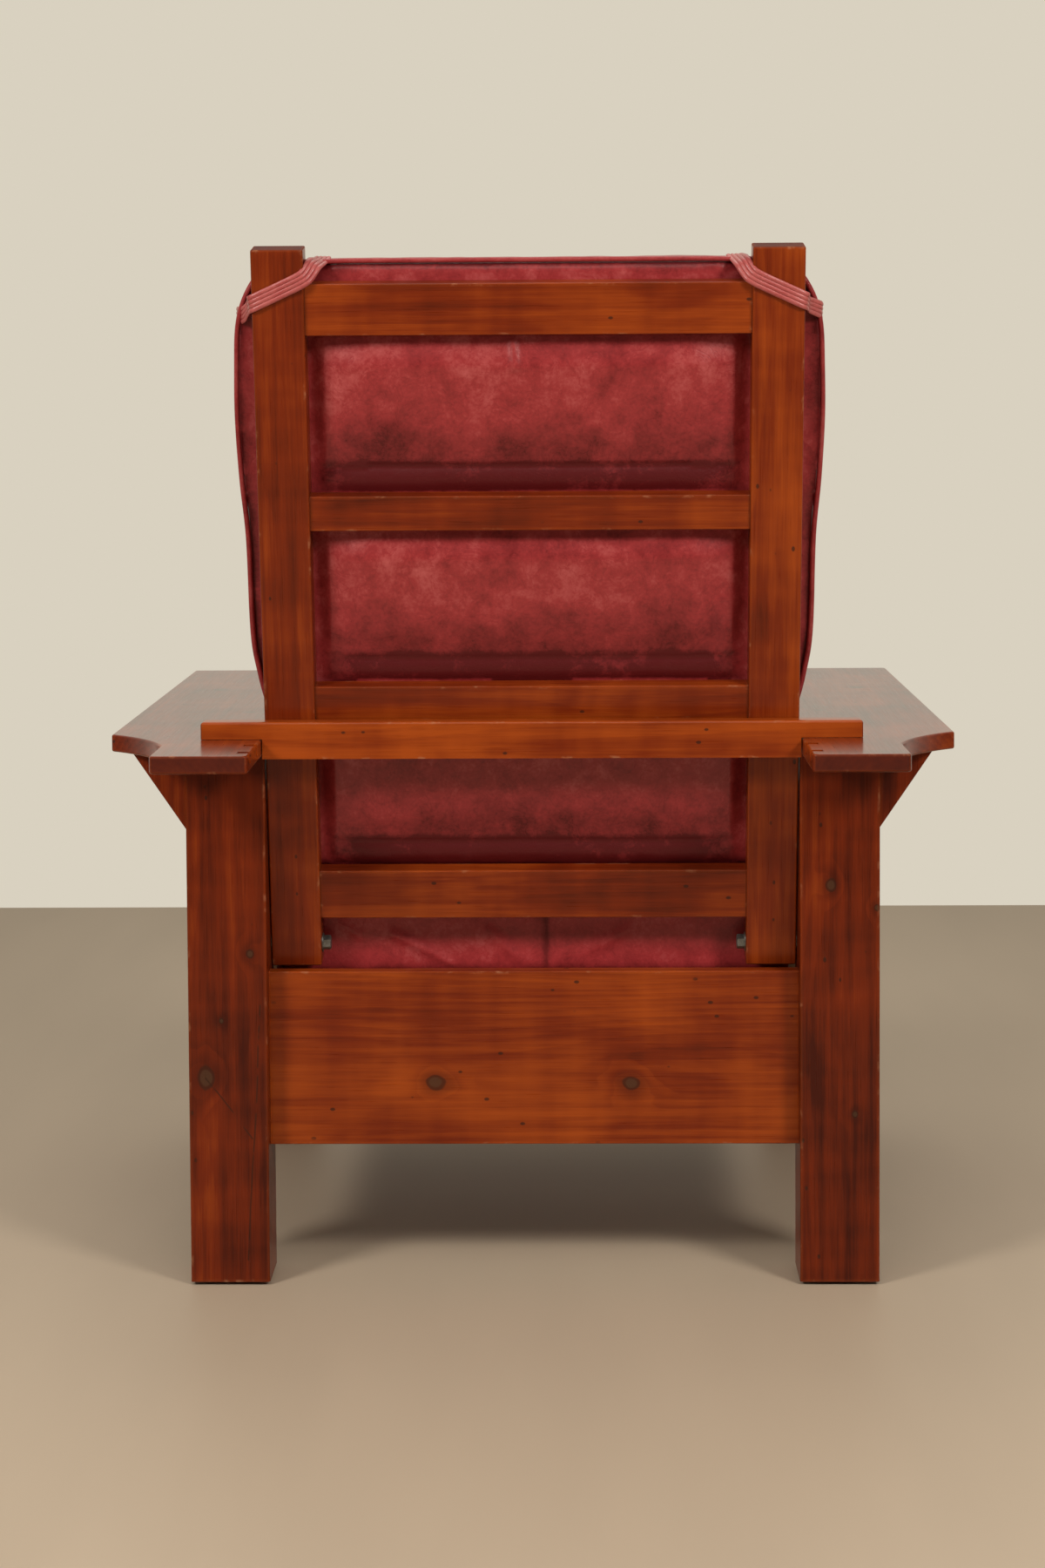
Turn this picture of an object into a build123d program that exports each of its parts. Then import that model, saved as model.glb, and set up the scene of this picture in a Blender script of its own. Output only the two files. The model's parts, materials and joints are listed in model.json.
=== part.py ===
from build123d import *
import os
from math import cos, radians, sin, tan

os.makedirs("parts", exist_ok=True)

# A reclining armchair with wide flat arms and a ladder back that leans on a loose bar.
# Millimetres. +Z is up, the sitter faces -Y, and the sitter's left hand is at +X.
# While the chair is laid out, y is zero at the rear faces of the rear legs.

# Arms
arm_span = 972.0
arm_inner_gap = 614.0
arm_thickness = 20.0
arm_top_height = 640.0
arm_front_overhang = 38.0
arm_tail_reach = 175.0
arm_tail_width = 107.5
arm_edge_radius = 2.5
arm_corner_radius = 6.0
scoop_corner_radius = 4.0
scoop_start = 22.0
scoop_length = 104.0
scoop_sag = 10.0

# Notches in the arms' inner edges that hold the bar's pegs
notch_count = 3
notch_pitch = 62.0
notch_width = 13.0
notch_reach = 14.0
notch_depth = 12.5

# Legs and the feet under them
leg_width = 91.5
leg_depth = 78.0
leg_stance_depth = 720.0
leg_edge_radius = 2.5
glide_height = 4.0
glide_diameter = 30.0

# Corbels between arms and legs
corbel_reach = 60.0
corbel_drop = 88.0
corbel_thickness = 26.0
corbel_setback = 4.0

# Boards between the legs
rear_apron_height = 203.0
rear_apron_bottom = 159.0
rear_apron_recess = 25.0
apron_thickness = 20.0
front_apron_height = 190.0
front_apron_bottom = 186.0
front_apron_recess = 12.0
side_board_thickness = 22.0
side_rail_height = 50.0
tenon_length = 25.0
tenon_shoulder = 10.0
tenon_cheek = 4.0
board_edge_radius = 1.5

# Slats between the side apron and the side rail
side_slat_count = 5
side_slat_width = 60.0
side_slat_thickness = 12.0
side_slat_tenon = 10.0

# Seat deck
deck_slope = 3.5
deck_front_height = 376.0
cleat_width = 34.0
cleat_height = 28.0
cleat_end_gap = 5.5
seat_slat_count = 5
seat_slat_width = 72.0
seat_slat_thickness = 18.0
seat_slat_edge_radius = 3.0

# Seat cushion
seat_cushion_thickness = 116.0
seat_cushion_crown = 10.0
seat_cushion_draw = 6.0
seat_cushion_side_bulge = 2.0
seat_cushion_front_recess = 10.0
seat_cushion_rear_gap = 3.0

# Corner blocks and their screws
corner_block_length = 60.0
corner_block_height = 44.0
corner_block_nose = 15.0
screw_shank_diameter = 4.0
screw_head_diameter = 8.0
screw_head_height = 3.0
screw_bite = 14.0

# Ladder back, along its own leaned length
back_lean = 10.5
stile_width = 58.0
stile_thickness = 34.0
stile_length = 841.0
stile_edge_radius = 2.0
stile_foot_rise = 363.8
stile_foot_setback = 50.2
stile_leg_gap = 1.2
wide_rail_height = 58.0
narrow_rail_height = 40.0
rail_thickness = 25.0
rail_setback = 4.0
rail_edge_radius = 1.5
lower_rail_rise = 57.5
top_rail_drop = 39.0
dowel_diameter = 9.5
dowel_length = 50.0
dowel_edge_distance = 13.0

# Pivot
pivot_rise = 22.6
pivot_bolt_diameter = 9.5
pivot_bolt_head_diameter = 19.0
pivot_bolt_head_height = 5.0
pivot_bushing_wall = 1.5
pivot_nut_across = 15.0
pivot_nut_length = 9.0
pivot_nut_sides = 6
pivot_nut_edge_radius = 1.8
pivot_nut_hollow = 3.0
pivot_washer_diameter = 22.0
pivot_washer_thickness = 1.2

# Support bar
bar_length = 751.5
bar_thickness = 27.0
bar_height = 42.3
bar_tab_height = 19.6
bar_edge_radius = 3.5
bar_end_clearance = 1.0
bar_peg_diameter = 9.0
bar_peg_reach = 11.0
bar_peg_seat = 20.0

# Back cushion, measured along the leaned back from the pivot
back_cushion_thickness = 130.0
back_cushion_bottom = 82.0
back_cushion_top = 803.0
back_cushion_half_width = 336.0
back_cushion_crown = 14.0
back_cushion_side_bulge = 7.0
back_cushion_swell = 17.0
back_cushion_swell_run = 48.0
back_cushion_swell_side_gap = 8.0
back_cushion_swell_end_gap = 2.0

# Straps that loop the cushion to the stiles
strap_width = 17.5
strap_thickness = 3.5
strap_angle = 26.5
strap_drop = 42.0

# Arm dowels
arm_dowel_diameter = 12.0
arm_dowel_depth_in_arm = 12.0
arm_dowel_depth_in_leg = 30.0
arm_dowel_spread = 40.0

# Fits
joint_fit = 0.1
running_fit = 0.06
seat_fit = 0.3
lift_clearance = 0.4
cushion_side_gap = 2.0
overrun = 5.0

# Shares of the length of a cushion where its sections lie, and how full it is there
seat_station_shares = (0.0, 0.04, 0.2, 0.5, 0.8, 0.96, 1.0)
seat_fullness_shares = (0.0, 0.35, 0.8, 1.0, 0.8, 0.35, 0.0)
# Back cushion: place along its length, width, and fullness of the front
back_station_shares = (0.0, 0.025, 0.225, 0.27, 0.35, 0.6, 0.9, 0.975, 1.0)
back_width_shares = (0.87, 0.895, 0.9, 0.93, 0.972, 0.995, 1.0, 0.985, 0.965)
back_fullness_shares = (0.1, 0.4, 0.85, 0.9, 1.0, 1.0, 0.7, 0.4, 0.1)
# How much of the seat cushion's crown its end sections keep
end_crown_share = 0.25
# How far a corner block's end reaches along the leg, and where its leg screw stands
corner_block_end_share = 0.333
corner_block_screw_share = 0.833

# Places that follow from the sizes
arm_bottom = arm_top_height - arm_thickness
arm_outer = arm_span / 2
arm_inner = arm_inner_gap / 2
arm_front = -leg_stance_depth - arm_front_overhang
leg_inner = arm_inner
leg_outer = leg_inner + leg_width
leg_middle = leg_inner + leg_width / 2
opening_front = -leg_stance_depth + leg_depth
opening_rear = -leg_depth
opening_length = opening_rear - opening_front
rear_apron_back = -rear_apron_recess
rear_apron_front = rear_apron_back - apron_thickness
rear_apron_top = rear_apron_bottom + rear_apron_height
front_apron_front = -leg_stance_depth + front_apron_recess
front_apron_back = front_apron_front + apron_thickness
side_inner = leg_middle - side_board_thickness / 2
side_outer = leg_middle + side_board_thickness / 2
side_rail_bottom = arm_bottom - side_rail_height
middle_y = (arm_front + arm_tail_reach) / 2

lean = radians(back_lean)
stile_outer = leg_inner - stile_leg_gap
stile_inner = stile_outer - stile_width
stile_middle = (stile_outer + stile_inner) / 2
pivot_y = -stile_foot_setback + pivot_rise * sin(lean) - stile_thickness / 2 * cos(lean)
pivot_z = stile_foot_rise + pivot_rise * cos(lean) + stile_thickness / 2 * sin(lean)
# Heights in the back's own frame, whose origin is the pivot
stile_foot = -pivot_rise
stile_head = stile_length - pivot_rise
stile_back = stile_thickness / 2
stile_front = -stile_thickness / 2
rail_back = stile_back - rail_setback
lower_rail_foot = stile_foot + lower_rail_rise
top_rail_head = stile_head - top_rail_drop
rail_span = top_rail_head - lower_rail_foot
rail_heights = (wide_rail_height, narrow_rail_height, narrow_rail_height, wide_rail_height)
rail_gap = (rail_span - sum(rail_heights)) / (len(rail_heights) - 1)

bar_top = arm_top_height + lift_clearance + bar_tab_height
bar_bottom = bar_top - bar_height
bar_front = pivot_y + stile_back / cos(lean) + (bar_top - pivot_z) * tan(lean) + seat_fit
bar_middle = bar_front + bar_thickness / 2
bar_body_half = arm_inner - bar_end_clearance
peg_height = arm_top_height - notch_depth + lift_clearance + bar_peg_diameter / 2
first_notch_front = bar_middle - bar_peg_diameter / 2 - lift_clearance


def block(x_low, x_high, y_low, y_high, z_low, z_high):
    """A square-edged board between two corners."""
    size = (x_high - x_low, y_high - y_low, z_high - z_low)
    centre = ((x_low + x_high) / 2, (y_low + y_high) / 2, (z_low + z_high) / 2)
    return Pos(*centre) * Box(*size)


def eased(solid, axis, radius):
    """The same board with its long edges rounded over."""
    return fillet(solid.edges().filter_by(axis), radius)


def other_side(solid):
    """The right-hand twin of a left-hand piece."""
    return mirror(solid, about=Plane.YZ)


def rod(diameter, length, start, direction):
    """A round rod from a start point along a direction."""
    plane = Plane(origin=start, z_dir=direction)
    return extrude(plane * Circle(diameter / 2), amount=length)


def tenon_box(x_low, x_high, y_low, y_high, z_low, z_high, grow):
    """A tenon, or with some growth the mortise that it enters."""
    return block(x_low - grow, x_high + grow, y_low - grow, y_high + grow, z_low - grow, z_high + grow)


# Every piece is kept under its own name, and its place is set when it is written
pieces = {}


def leg_blank(y_low):
    """A left leg with eased edges, before its mortises are cut."""
    post = block(leg_inner, leg_outer, y_low, y_low + leg_depth, glide_height, arm_bottom)
    return eased(post, Axis.Z, leg_edge_radius)


def cross_board(y_low, z_low, z_high, grow=0.0, tenons_only=False):
    """A board between two legs, with a tenon at each end."""
    tenons = [
        tenon_box(side * (leg_inner + tenon_length / 2) - tenon_length / 2,
                  side * (leg_inner + tenon_length / 2) + tenon_length / 2,
                  y_low + tenon_cheek, y_low + apron_thickness - tenon_cheek,
                  z_low + tenon_shoulder, z_high - tenon_shoulder, grow)
        for side in (-1, 1)
    ]
    if tenons_only:
        return tenons[0] + tenons[1]
    board = block(-leg_inner, leg_inner, y_low, y_low + apron_thickness, z_low, z_high)
    board = eased(board, Axis.X, board_edge_radius)
    return board + tenons[0] + tenons[1]


def side_board(z_low, z_high, grow=0.0, tenons_only=False):
    """A left board between the front and the rear leg, with a tenon at each end."""
    tenons = [
        tenon_box(side_inner + tenon_cheek, side_outer - tenon_cheek, y_low, y_low + tenon_length,
                  z_low + tenon_shoulder, z_high - tenon_shoulder, grow)
        for y_low in (opening_front - tenon_length, opening_rear)
    ]
    if tenons_only:
        return tenons[0] + tenons[1]
    board = block(side_inner, side_outer, opening_front, opening_rear, z_low, z_high)
    board = eased(board, Axis.Y, board_edge_radius)
    return board + tenons[0] + tenons[1]


def side_slat(place, grow=0.0, tenons_only=False):
    """A left slat whose ends enter the side apron and the side rail."""
    pitch = opening_length / side_slat_count
    y_middle = opening_front + pitch / 2 + place * pitch
    half = side_slat_width / 2
    low = rear_apron_top
    high = side_rail_bottom
    x_low = leg_middle - side_slat_thickness / 2
    x_high = leg_middle + side_slat_thickness / 2
    half_tenon = half - tenon_cheek
    tenons = [
        tenon_box(x_low, x_high, y_middle - half_tenon, y_middle + half_tenon, z_low,
                  z_low + side_slat_tenon, grow)
        for z_low in (low - side_slat_tenon, high)
    ]
    if tenons_only:
        return tenons[0] + tenons[1]
    slat = block(x_low, x_high, y_middle - half, y_middle + half, low, high)
    slat = eased(slat, Axis.Z, board_edge_radius)
    return slat + tenons[0] + tenons[1]


def arm_outline():
    """Plan of the left arm with rounded corners, scooped out at the rear to a narrower tail."""
    tail_outer = arm_inner + arm_tail_width
    wide = Vector(arm_outer, -scoop_start, arm_bottom)
    scoop_end = Vector(tail_outer, scoop_length - scoop_start, arm_bottom)
    chord = scoop_end - wide
    towards_arm = Vector(-chord.Y, chord.X, 0).normalized() * scoop_sag
    scoop_middle = wide + chord / 2 + towards_arm
    edge = [
        Line(Vector(arm_inner, arm_front, arm_bottom), Vector(arm_outer, arm_front, arm_bottom)),
        Line(Vector(arm_outer, arm_front, arm_bottom), wide),
        ThreePointArc(wide, scoop_middle, scoop_end),
        Line(scoop_end, Vector(tail_outer, arm_tail_reach, arm_bottom)),
        Line(Vector(tail_outer, arm_tail_reach, arm_bottom), Vector(arm_inner, arm_tail_reach, arm_bottom)),
        Line(Vector(arm_inner, arm_tail_reach, arm_bottom), Vector(arm_inner, arm_front, arm_bottom)),
    ]
    plan = make_face(Wire(edge))
    corners = plan.vertices().sort_by(Axis.Y)
    scoop_corners = [corners[2], corners[3]]
    plan = fillet(scoop_corners, scoop_corner_radius)
    corners = plan.vertices().sort_by(Axis.Y)
    ends = [corners[0], corners[1], corners[-2], corners[-1]]
    return fillet(ends, arm_corner_radius)


def notch(place, reach):
    """The space of one notch, cut from the arm's inner edge and open at the top."""
    front = first_notch_front + place * notch_pitch
    return block(arm_inner - overrun, arm_inner + reach, front, front + notch_width,
                 arm_top_height - notch_depth, arm_top_height + overrun)


def arm_dowels():
    """Dowels that tie a left arm to its two legs."""
    pins = []
    for y_middle in (-leg_depth / 2, -leg_stance_depth + leg_depth / 2):
        for side in (-1, 1):
            start = (leg_middle + side * arm_dowel_spread / 2, y_middle, arm_bottom - arm_dowel_depth_in_leg)
            pins.append(rod(arm_dowel_diameter, arm_dowel_depth_in_leg + arm_dowel_depth_in_arm, start,
                            (0, 0, 1)))
    return pins


def left_arm():
    """The left arm, with eased edges, its notches and the holes of its dowels."""
    board = extrude(arm_outline(), amount=arm_thickness, dir=(0, 0, 1))
    for face_place in (-1, 0):
        board = fillet(board.faces().sort_by(Axis.Z)[face_place].edges(), arm_edge_radius)
    for place in range(notch_count):
        board = board - notch(place, notch_reach)
    for pin in arm_dowels():
        board = board - pin
    return board


def corbel(y_low):
    """A left bracket with a straight slanted edge."""
    corners = [
        (leg_outer, arm_bottom),
        (leg_outer + corbel_reach, arm_bottom),
        (leg_outer, arm_bottom - corbel_drop),
    ]
    plane = Plane(origin=(0, y_low + corbel_thickness, 0), x_dir=(1, 0, 0), z_dir=(0, -1, 0))
    face = plane * make_face(Polyline(*corners, close=True))
    return extrude(face, amount=corbel_thickness)


def screw(tip, direction, grip):
    """A wood screw whose head stands on the block, from its tip towards its head."""
    shank = rod(screw_shank_diameter, screw_bite + grip, tip, direction)
    head_start = Vector(*tip) + Vector(*direction) * (screw_bite + grip)
    return shank + rod(screw_head_diameter, screw_head_height, head_start, direction)


def corner_block(y_wall, towards):
    """A left three-sided block in the corner of an apron and a leg, and its two screws."""
    room = abs((opening_rear if towards < 0 else opening_front) - y_wall)
    z_low = rear_apron_bottom + (rear_apron_height - corner_block_height) / 2
    end = corner_block_end_share * room
    corners = [
        (leg_inner, y_wall),
        (leg_inner - corner_block_length, y_wall),
        (leg_inner - corner_block_length, y_wall + towards * end),
        (leg_inner - corner_block_nose, y_wall + towards * room),
        (leg_inner, y_wall + towards * room),
    ]
    plane = Plane.XY.offset(z_low)
    solid = extrude(plane * make_face(Polyline(*corners, close=True)), amount=corner_block_height)
    z_middle = z_low + corner_block_height / 2
    slant = (room - end) / (corner_block_length - corner_block_nose)
    head_half = screw_head_diameter / 2
    apron_screw_x = leg_inner - corner_block_length + corner_block_nose
    apron_grip = end + slant * (corner_block_nose + head_half)
    leg_screw_reach = corner_block_screw_share * room
    leg_screw_y = y_wall + towards * leg_screw_reach
    leg_grip = corner_block_nose + (room - leg_screw_reach + head_half) / slant
    screws = [
        screw((apron_screw_x, y_wall - towards * screw_bite, z_middle), (0, towards, 0), apron_grip),
        screw((leg_inner + screw_bite, leg_screw_y, z_middle), (-1, 0, 0), leg_grip),
    ]
    return solid, screws


# Seat deck frame: its origin is the front of the side opening at the slats' top
deck = Pos(0, opening_front, deck_front_height) * Rot(-deck_slope, 0, 0)
cleat_end = opening_length / cos(radians(deck_slope)) - cleat_end_gap


def seat_cleat():
    """A left cleat on the side apron's inner face, with the slope of the deck."""
    strip = block(side_inner - cleat_width, side_inner, cleat_end_gap, cleat_end,
                  -seat_slat_thickness - cleat_height, -seat_slat_thickness)
    return deck * eased(strip, Axis.Y, board_edge_radius)


def seat_slat(place):
    """A slat across the deck from cleat to cleat."""
    pitch = (cleat_end - cleat_end_gap - seat_slat_width) / (seat_slat_count - 1)
    front = cleat_end_gap + place * pitch
    half = side_inner - cushion_side_gap
    board = block(-half, half, front, front + seat_slat_width, -seat_slat_thickness, 0)
    return deck * eased(board, Axis.X, seat_slat_edge_radius)


def cushion_section(plane, half_width, low, high, crown, side_bulge):
    """A closed outline across a cushion, flat on one side and bowed on three."""
    middle = (low + high) / 2
    corners = [(-half_width, low), (half_width, low), (half_width, high), (-half_width, high)]
    outline = [
        Line(corners[0], corners[1]),
        ThreePointArc(corners[1], (half_width + side_bulge, middle), corners[2]),
        ThreePointArc(corners[2], (0, high + crown), corners[3]),
        ThreePointArc(corners[3], (-half_width - side_bulge, middle), corners[0]),
    ]
    return plane * make_face(Wire(outline))


def seat_cushion():
    """A boxed cushion with a crowned top and sides drawn in between its corners."""
    front = -(leg_stance_depth - seat_cushion_front_recess + opening_front) / cos(radians(deck_slope))
    rear_wall = pivot_y + stile_front * cos(lean) + stile_foot * sin(lean) - seat_cushion_rear_gap
    rear = (rear_wall - opening_front) / cos(radians(deck_slope))
    length = rear - front
    half = leg_inner - cushion_side_gap - seat_cushion_side_bulge
    sections = []
    for share, full in zip(seat_station_shares, seat_fullness_shares):
        plane = Plane(origin=(0, front + share * length, seat_fit), x_dir=(-1, 0, 0), z_dir=(0, 1, 0))
        sections.append(cushion_section(
            plane, half - seat_cushion_draw * full, 0, seat_cushion_thickness,
            seat_cushion_crown * (end_crown_share + (1 - end_crown_share) * full),
            seat_cushion_side_bulge))
    return deck * loft(sections)


# Back frame: its origin is the pivot, and its Z runs up the leaned stiles
back = Pos(0, pivot_y, pivot_z) * Rot(-back_lean, 0, 0)


def stile():
    """The left stile, bored for the bushing and for the rails' dowels."""
    post = block(stile_inner, stile_outer, stile_front, stile_back, stile_foot, stile_head)
    post = fillet(post.edges(), stile_edge_radius)
    bore = pivot_bolt_diameter + 2 * running_fit + 2 * pivot_bushing_wall
    post = post - rod(bore, stile_width + 2 * overrun, (stile_inner - overrun, 0, 0), (1, 0, 0))
    for pin in rail_dowels():
        post = post - pin
    return post


def rail_places():
    """Foot and head of each rail, from the lowest to the top one."""
    places = []
    foot = lower_rail_foot
    for height in rail_heights:
        places.append((foot, foot + height))
        foot = foot + height + rail_gap
    return places


def rail_dowels():
    """Dowels at the left ends of the rails, two to each rail."""
    pins = []
    for foot, head in rail_places():
        for height in (foot + dowel_edge_distance, head - dowel_edge_distance):
            start = (stile_inner - dowel_length / 2, rail_back - rail_thickness / 2, height)
            pins.append(rod(dowel_diameter, dowel_length, start, (1, 0, 0)))
    return pins


def rail(foot, head):
    """A rail between the stiles, bored for its dowels."""
    board = block(-stile_inner, stile_inner, rail_back - rail_thickness, rail_back, foot, head)
    board = eased(board, Axis.X, rail_edge_radius)
    for pin in rail_dowels():
        board = board - pin - other_side(pin)
    return board


def rear_swell():
    """The cushion's rear between the stiles, flat behind the rails and swollen between them."""
    rear = stile_front - seat_fit
    root = rear - overrun
    flat = rail_back - rail_thickness - seat_fit
    crest = flat + back_cushion_swell
    low = back_cushion_bottom + back_cushion_swell_end_gap
    high = back_cushion_top - back_cushion_swell_end_gap
    rails = rail_places()
    profile = [Polyline((root, low), (rear, low), (flat, low + flat - rear), (flat, rails[0][1]))]
    for (foot, head), (next_foot, next_head) in zip(rails, rails[1:]):
        profile.append(ThreePointArc((flat, head), (crest, (head + next_foot) / 2), (flat, next_foot)))
        if next_head < rails[-1][1]:
            profile.append(Line((flat, next_foot), (flat, next_head)))
    profile.append(Polyline((flat, rails[-1][0]), (flat, high - flat + rear), (rear, high), (root, high),
                            (root, low)))
    half = stile_inner - back_cushion_swell_side_gap
    inner = half - back_cushion_swell_run
    plan = [
        Polyline((inner, crest), (-inner, crest)),
        Spline((-inner, crest), (-half, rear), tangents=((-1, 0), (0, -1))),
        Polyline((-half, rear), (-half, root), (half, root), (half, rear)),
        Spline((half, rear), (inner, crest), tangents=((0, 1), (-1, 0))),
    ]
    along = extrude(Plane.YZ.offset(-half) * make_face(Curve() + profile), amount=2 * half)
    across = extrude(Plane.XY.offset(low) * make_face(Curve() + plan), amount=high - low)
    return along & across


def back_cushion():
    """A crowned cushion, narrow between the arms and wider above them, pressed on the ladder."""
    length = back_cushion_top - back_cushion_bottom
    rear = -(stile_front - seat_fit)
    sections = []
    for share, width, full in zip(back_station_shares, back_width_shares, back_fullness_shares):
        plane = Plane(origin=(0, 0, back_cushion_bottom + share * length), x_dir=(1, 0, 0), z_dir=(0, 0, 1))
        bulge = back_cushion_side_bulge * full
        half = back_cushion_half_width * width - bulge
        outline = cushion_section(plane, half, rear, rear + back_cushion_thickness - back_cushion_crown,
                                  back_cushion_crown * full, bulge)
        sections.append(mirror(outline, about=Plane.XZ))
    return loft(sections) + rear_swell()


def strap():
    """A left strap: a slanted band round the back and both sides of the stile."""
    gap = seat_fit
    reach = gap + strap_thickness
    outer = block(stile_inner - reach, stile_outer + reach, stile_front - gap, stile_back + reach,
                  stile_foot, stile_head)
    hollow = block(stile_inner - gap, stile_outer + gap, stile_front - overrun, stile_back + gap,
                   stile_foot - overrun, stile_head + overrun)
    level = stile_head - strap_drop
    slab_half = stile_width + stile_thickness
    slab = block(-slab_half, slab_half, -slab_half, slab_half, -strap_width / 2, strap_width / 2)
    slab = Pos(stile_middle, 0, level) * Rot(0, strap_angle, 0) * slab
    return (outer - hollow) & slab


def stepped_bar():
    """The loose bar, whose ends are stepped to lie on the arms."""
    half = bar_length / 2
    tab_bottom = bar_top - bar_tab_height
    body = block(-half, half, bar_front, bar_front + bar_thickness, bar_bottom, bar_top)
    body = fillet(body.edges().group_by(Axis.Z)[-1], bar_edge_radius)
    for side in (-1, 1):
        step = block(bar_body_half, half + overrun, bar_front - overrun, bar_front + bar_thickness + overrun,
                     bar_bottom - overrun, tab_bottom)
        body = body - (step if side > 0 else other_side(step))
    peg = bar_peg()
    return body - peg - other_side(peg)


def bar_peg():
    """A round peg in the bar's left end that drops into a notch."""
    start = (bar_body_half - bar_peg_seat, bar_middle, peg_height)
    return rod(bar_peg_diameter, bar_peg_seat + bar_peg_reach, start, (1, 0, 0))


def pivot_hardware():
    """Left bolt, washers and nut, along the pivot."""
    washer_start = stile_inner - seat_fit - pivot_washer_thickness
    nut_start = washer_start - pivot_nut_length
    bolt_start = nut_start + pivot_nut_hollow
    bolt = rod(pivot_bolt_diameter, leg_outer - bolt_start, (bolt_start, pivot_y, pivot_z), (1, 0, 0))
    head = rod(pivot_bolt_head_diameter, pivot_bolt_head_height, (leg_outer, pivot_y, pivot_z), (1, 0, 0))
    head = fillet(head.faces().sort_by(Axis.X)[-1].edges(), pivot_bolt_head_height / 2)
    nut_plane = Plane(origin=(nut_start, pivot_y, pivot_z), z_dir=(1, 0, 0))
    nut_outline = RegularPolygon(pivot_nut_across / 2, pivot_nut_sides, major_radius=False)
    nut = extrude(nut_plane * nut_outline, amount=pivot_nut_length)
    nut = fillet(nut.faces().sort_by(Axis.X)[0].edges(), pivot_nut_edge_radius)
    nut = nut - bolt
    washer_hole = pivot_bolt_diameter + 2 * running_fit
    washers = []
    for start, end in ((stile_outer + seat_fit / 2, leg_inner), (washer_start, stile_inner - seat_fit)):
        disc = rod(pivot_washer_diameter, end - start, (start, pivot_y, pivot_z), (1, 0, 0))
        bore = rod(washer_hole, end - start + 2 * overrun, (start - overrun, pivot_y, pivot_z), (1, 0, 0))
        washers.append(disc - bore)
    return bolt + head, washers, nut


def bushing():
    """Left sleeve in the stile, in the back's frame."""
    inner = pivot_bolt_diameter + 2 * running_fit
    outside = rod(inner + 2 * pivot_bushing_wall, stile_width, (stile_inner, 0, 0), (1, 0, 0))
    return outside - rod(inner, stile_width + 2 * overrun, (stile_inner - overrun, 0, 0), (1, 0, 0))


def pair(name, left):
    """Keep a left-hand piece and its right-hand twin under their own names."""
    pieces[name + "_left"] = [left]
    pieces[name + "_right"] = [other_side(left)]


def both(solids):
    """Left-hand solids and their right-hand twins, for a node that holds them all."""
    return list(solids) + [other_side(solid) for solid in solids]


# Aprons and rails between the legs
pieces["rear_apron"] = [cross_board(rear_apron_front, rear_apron_bottom, rear_apron_top)]
pieces["front_apron"] = [cross_board(front_apron_front, front_apron_bottom,
                                     front_apron_bottom + front_apron_height)]
side_apron = side_board(rear_apron_bottom, rear_apron_top)
side_rail = side_board(side_rail_bottom, arm_bottom)
for place in range(side_slat_count):
    socket = side_slat(place, grow=joint_fit, tenons_only=True)
    side_apron = side_apron - socket
    side_rail = side_rail - socket
    pair("side_slat_" + str(place + 1), side_slat(place))

# Corner blocks with their screws
rear_block, rear_screws = corner_block(rear_apron_front, -1)
front_block, front_screws = corner_block(front_apron_back, 1)
block_screws = rear_screws + front_screws

# Legs with the mortises of the boards, the bolt's bore and the dowels' holes
bolt, washers, nut = pivot_hardware()
rear_leg = leg_blank(-leg_depth)
front_leg = leg_blank(-leg_stance_depth)
rear_leg = rear_leg - cross_board(rear_apron_front, rear_apron_bottom, rear_apron_top, joint_fit, True)
front_leg = front_leg - cross_board(front_apron_front, front_apron_bottom,
                                    front_apron_bottom + front_apron_height, joint_fit, True)
for z_low, z_high in ((rear_apron_bottom, rear_apron_top), (side_rail_bottom, arm_bottom)):
    socket = side_board(z_low, z_high, joint_fit, True)
    rear_leg = rear_leg - socket
    front_leg = front_leg - socket
for pin in arm_dowels():
    rear_leg = rear_leg - pin
    front_leg = front_leg - pin
rear_leg = rear_leg - bolt
for fastener in block_screws:
    rear_leg = rear_leg - fastener
    front_leg = front_leg - fastener
    rear_block = rear_block - fastener
    front_block = front_block - fastener
    for name in ("rear_apron", "front_apron"):
        pieces[name] = [pieces[name][0] - fastener - other_side(fastener)]
pair("rear_leg", rear_leg)
pair("front_leg", front_leg)
pair("side_apron", side_apron)
pair("side_rail", side_rail)
pair("rear_corner_block", rear_block)
pair("front_corner_block", front_block)
pieces["corner_screws"] = both(block_screws)
pieces["leg_glides"] = both([
    rod(glide_diameter, glide_height, (leg_middle, y_middle, 0), (0, 0, 1))
    for y_middle in (-leg_depth / 2, -leg_stance_depth + leg_depth / 2)
])

# Arms, corbels and the arms' dowels
pair("arm", left_arm())
pieces["arm_dowels"] = both(arm_dowels())
pair("rear_corbel", corbel(-corbel_setback - corbel_thickness))
pair("front_corbel", corbel(-leg_stance_depth + corbel_setback))

# Seat
pair("seat_cleat", seat_cleat())
for place in range(seat_slat_count):
    pieces["seat_slat_" + str(place + 1)] = [seat_slat(place)]
pieces["seat_cushion"] = [seat_cushion()]

# Pivot hardware that stays with the legs
pieces["pivot_bolts"] = both([bolt])
pieces["pivot_washers"] = both(washers)
pieces["pivot_nuts"] = both([nut])

# The ladder back with its cushion
pair("back_stile", back * stile())
for name, (foot, head) in zip(("lower", "middle", "upper", "top"), rail_places()):
    pieces["back_rail_" + name] = [back * rail(foot, head)]
pieces["rail_dowels"] = [back * pin for pin in both(rail_dowels())]
pieces["pivot_bushings"] = [back * sleeve for sleeve in both([bushing()])]
pieces["back_cushion"] = [back * back_cushion()]
pieces["cushion_strap_left"] = [back * strap()]
pieces["cushion_strap_right"] = [back * other_side(strap())]

# The loose bar
pieces["support_bar"] = [stepped_bar()]
pieces["bar_pegs"] = both([bar_peg()])


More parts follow.
